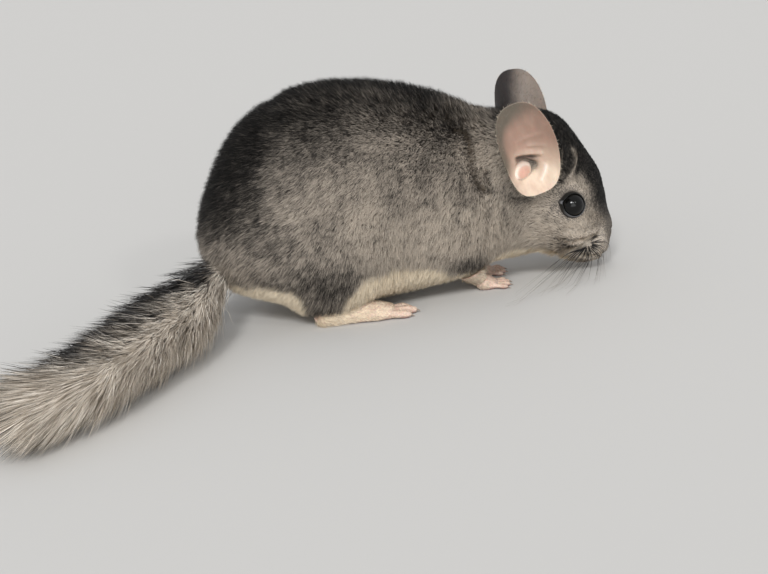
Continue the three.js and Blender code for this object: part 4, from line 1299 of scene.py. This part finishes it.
def growBrush():
    m = tailPlan
    random = np.random.default_rng(21)
    count = m["hairs"]
    share = np.sqrt(random.uniform(0, 1, count)) * 0.35 + random.uniform(0, 1, count) * 0.65
    atTip = count // m["tipHairs"]
    share[:atTip] = random.uniform(0.86, 1.0, atTip)
    turn = random.uniform(0, 2 * np.pi, count)
    at, ahead, side, up = tailFrame(share)
    out = np.cos(turn)[:, None] * up + np.sin(turn)[:, None] * side
    roots = at + out * tailRadius(share)[:, None]
    grown = ramp(share, 0.0, 0.3)
    centres, clump = clumpsOf(roots, m["clumpSpacing"], m["coreArea"], random)
    clumps = clump.max() + 1
    tousle = (random.normal(size=clumps) * m["clumpTousle"])[clump]
    tousle = tousle + random.normal(size=count) * m["hairTousle"]
    sideways = -np.sin(turn)[:, None] * up + np.cos(turn)[:, None] * side
    lies = unit(ahead * np.cos(tousle)[:, None] + sideways * np.sin(tousle)[:, None])
    length = m["length"] * (0.45 + 0.55 * grown) * (1 + 0.22 * ramp(share, 0.8, 1.0))
    length = length * random.uniform(*m["clumpLength"], clumps)[clump]
    length = length * random.uniform(*m["hairLength"], count)
    lift = np.radians(m["lift"][0] + (m["lift"][1] - m["lift"][0]) * grown)
    lift = lift * (1 - 0.25 * ramp(share, 0.8, 1.0))
    lift = lift + (random.normal(size=clumps) * 0.09)[clump] + random.normal(size=count) * 0.09
    lowSide = ramp(-out[:, 2], 0.1, 1.0)
    lift = lift * (1 - 0.3 * lowSide)
    pull = (roots[centres] - roots) * m["gather"]
    tone = (random.normal(size=clumps) * 0.7)[clump] + random.normal(size=count) * 0.55
    # painted light: hairs on the lower side get paler tones to make up for the shade that falls under the
    # tail
    tone = np.clip(tone + 1.2 * lowSide, -1.8, 1.8)
    leftward = np.sum(out * side, axis=-1) + 0.2 * np.sum(out * up, axis=-1)
    dark = np.interp(leftward, m["across"], m["darkness"]) * (1 - 0.55 * ramp(share, 0.72, 0.97))
    dark = dark + m["rootDark"] * ramp(share, 0.4, 0.15) * ramp(leftward, -0.8, -0.1)
    dark = dark + 0.12 * random.normal(size=count)
    hair = dict(
        steps=m["steps"], bend=0.5, roots=roots, normals=out, lies=lies, lengths=length, lifts=lift,
        widths=m["width"] * random.uniform(0.7, 1.3, count), pull=pull,
        uv=np.stack([turn / (2 * np.pi), share], axis=-1) * 0.96 + 0.02,
        marks={"tone": tone, "dark": dark, "place": roots / 1000},
    )
    growHair("brush", hair, brushPaint(), "tail_fur", random, m["limit"])


dressTail()
growBrush()
print("brush grown")


# Whiskers: fine tapering bristles from each pad, sweeping out, back and down

whiskerPlan = dict(
    count=36,
    pad=(100.6, 17.4),  # the middle of the fan of roots, along and up
    turns=(32, -158),  # of the roots about it, in degrees
    start=(1.2, 5.0),
    lengths=(11, 22, 58),  # of the foremost bristle, of one a third of the way back and of the rearmost
    radii=(0.27, 0.12, 0.03),  # at the root, a fifth of the way along and at the tip
    frontSweep=(0.05, 0.8, -0.45),
    backSweep=(-0.75, 0.57, -0.25),
    steps=16,
)


def dressWhiskers(sideName):
    # each bristle runs out over the pad, away from the middle of the fan, and then sweeps down and back
    m, side = whiskerPlan, sides[sideName]
    random = np.random.default_rng(31 + side)
    points, faces, along = [], [], []
    for number in range(m["count"]):
        back = number / (m["count"] - 1)
        turn = math.radians(m["turns"][0] + (m["turns"][1] - m["turns"][0]) * back + random.uniform(-4, 4))
        fan = np.array([math.cos(turn), 0, math.sin(turn)])
        x, z = np.array(m["pad"]) + fan[[0, 2]] * random.uniform(*m["start"])
        hit, normal, _, _ = skinTree.ray_cast(Vector((x, side * 40, z)), Vector((0, -side, 0)))
        if hit is None:
            continue
        normal = np.array(normal)
        length = np.interp(back, [0, 0.35, 1], m["lengths"]) * random.uniform(0.75, 1.1)
        sweep = np.array(m["frontSweep"]) * (1 - back) + np.array(m["backSweep"]) * back
        sweep = unit(sweep * [1, side, 1] + 0.07 * random.normal(size=3))
        fan = unit(fan - normal * np.dot(fan, normal)) + normal * 0.1
        line = [np.array(hit) + normal * (0.2 + 0.8 * coatDepth(np.array(hit)))]
        for step in range(m["steps"]):
            walked = (step + 0.5) / m["steps"] * length
            settled = ramp(walked, 2.5, 9.0)
            line.append(line[-1] + unit(fan * (1 - settled) + sweep * settled) * length / m["steps"])
        line = np.array(line)
        line[:, 2] = np.maximum(line[:, 2], 0.6 + 1.5 * np.linspace(0, 1, len(line)))
        ahead = unit(np.gradient(line, axis=0))
        flat = unit(np.cross(ahead, [0.1, 0.2, 1.0]))
        other = np.cross(flat, ahead)
        size = np.interp(np.linspace(0, 1, len(line)), [0, 0.2, 1], m["radii"])
        start = sum(len(part) for part in points)
        corners = [line + (flat * math.cos(turn) + other * math.sin(turn)) * size[:, None]
                   for turn in (0.0, 2.1, 4.2)]
        bristle = np.stack(corners, axis=1).reshape(-1, 3)
        points.append(bristle)
        faces.append(facingOut(bristle, gridFaces(len(line), 3, True)) + start)
        along.append(np.repeat(np.linspace(0, 1, len(line)), 3))
    piece = makeMesh("whiskers_" + sideName, np.vstack(points), [np.vstack(faces)],
                     {"along": np.concatenate(along)})
    paint = Paint("whisker", Roughness=0.35, Specular_IOR_Level=0.5)
    colour = paint.mark("along").ramp(0.25, 0.8).between((0.012, 0.011, 0.011), (0.35, 0.32, 0.29))
    finishPiece(piece, paint.use(Base_Color=colour), "body_fur")


for sideName in sides:
    dressWhiskers(sideName)
print("whiskers set")


# Floor, light and camera

stagePlan = dict(
    floorHalf=4000, floorColour=(0.60, 0.59, 0.57),
    roomColour=(0.97, 0.98, 1.0, 1), roomStrength=0.62,
    suns=[  # name, the way to it, strength and spread in degrees
        ("key", (-0.15, -0.75, 0.65), 1.4, 12), ("second", (0.12, -0.8, 0.6), 0.4, 5),
        ("fill", (0.1, -0.98, 0.1), 0.9, 45), ("spark", (0.5, -0.7, 0.55), 0.3, 6)],
)


def addSun(name, toward, strength, spread):
    lamp = bpy.data.lights.new(name, "SUN")
    lamp.energy, lamp.angle = strength, math.radians(spread)
    holder = bpy.data.objects.new(name, lamp)
    bpy.context.scene.collection.objects.link(holder)
    holder.rotation_euler = Vector(toward).to_track_quat("Z", "Y").to_euler()


def setStage():
    half = stagePlan["floorHalf"]
    corners = np.array([[-half, -half, 0], [half, -half, 0], [half, half, 0], [-half, half, 0]], float)
    floor = makeMesh("floor", corners, [np.array([[0, 1, 2, 3]])])
    paint = Paint("paleFloor", Base_Color=stagePlan["floorColour"], Roughness=0.9, Specular_IOR_Level=0.1)
    floor.data.materials.append(paint.material)
    world = bpy.data.worlds.new("paleRoom")
    world.use_nodes = True
    background = world.node_tree.nodes["Background"]
    background.inputs["Color"].default_value = stagePlan["roomColour"]
    background.inputs["Strength"].default_value = stagePlan["roomStrength"]
    bpy.context.scene.world = world
    bpy.context.scene.view_settings.view_transform = "Standard"
    for sun in stagePlan["suns"]:
        addSun(*sun)


view = dict(target=(-0.88, 0, 4.44), elevation=19.0, roll=8.0, distance=800.0, focalPixels=1600.0)


def setCamera():
    lens = bpy.data.cameras.new("camera")
    lens.sensor_width, lens.lens = 36.0, 36.0 * view["focalPixels"] / 768
    lens.clip_start, lens.clip_end = 0.01, 50
    holder = bpy.data.objects.new("camera", lens)
    bpy.context.scene.collection.objects.link(holder)
    tilt, roll = math.radians(view["elevation"]), math.radians(view["roll"])
    back = Vector((0, -math.cos(tilt), math.sin(tilt)))
    upright = Vector((0, math.sin(tilt), math.cos(tilt)))
    level = Vector((1, 0, 0))
    right = level * math.cos(roll) - upright * math.sin(roll)
    up = level * math.sin(roll) + upright * math.cos(roll)
    place = Vector(toFrame(view["target"])) + back * view["distance"] / 1000
    turned = [[right[i], up[i], back[i], place[i]] for i in range(3)]
    holder.matrix_world = Matrix([*turned, [0, 0, 0, 1]])
    bpy.context.scene.camera = holder


setStage()
setCamera()

print("scene made")
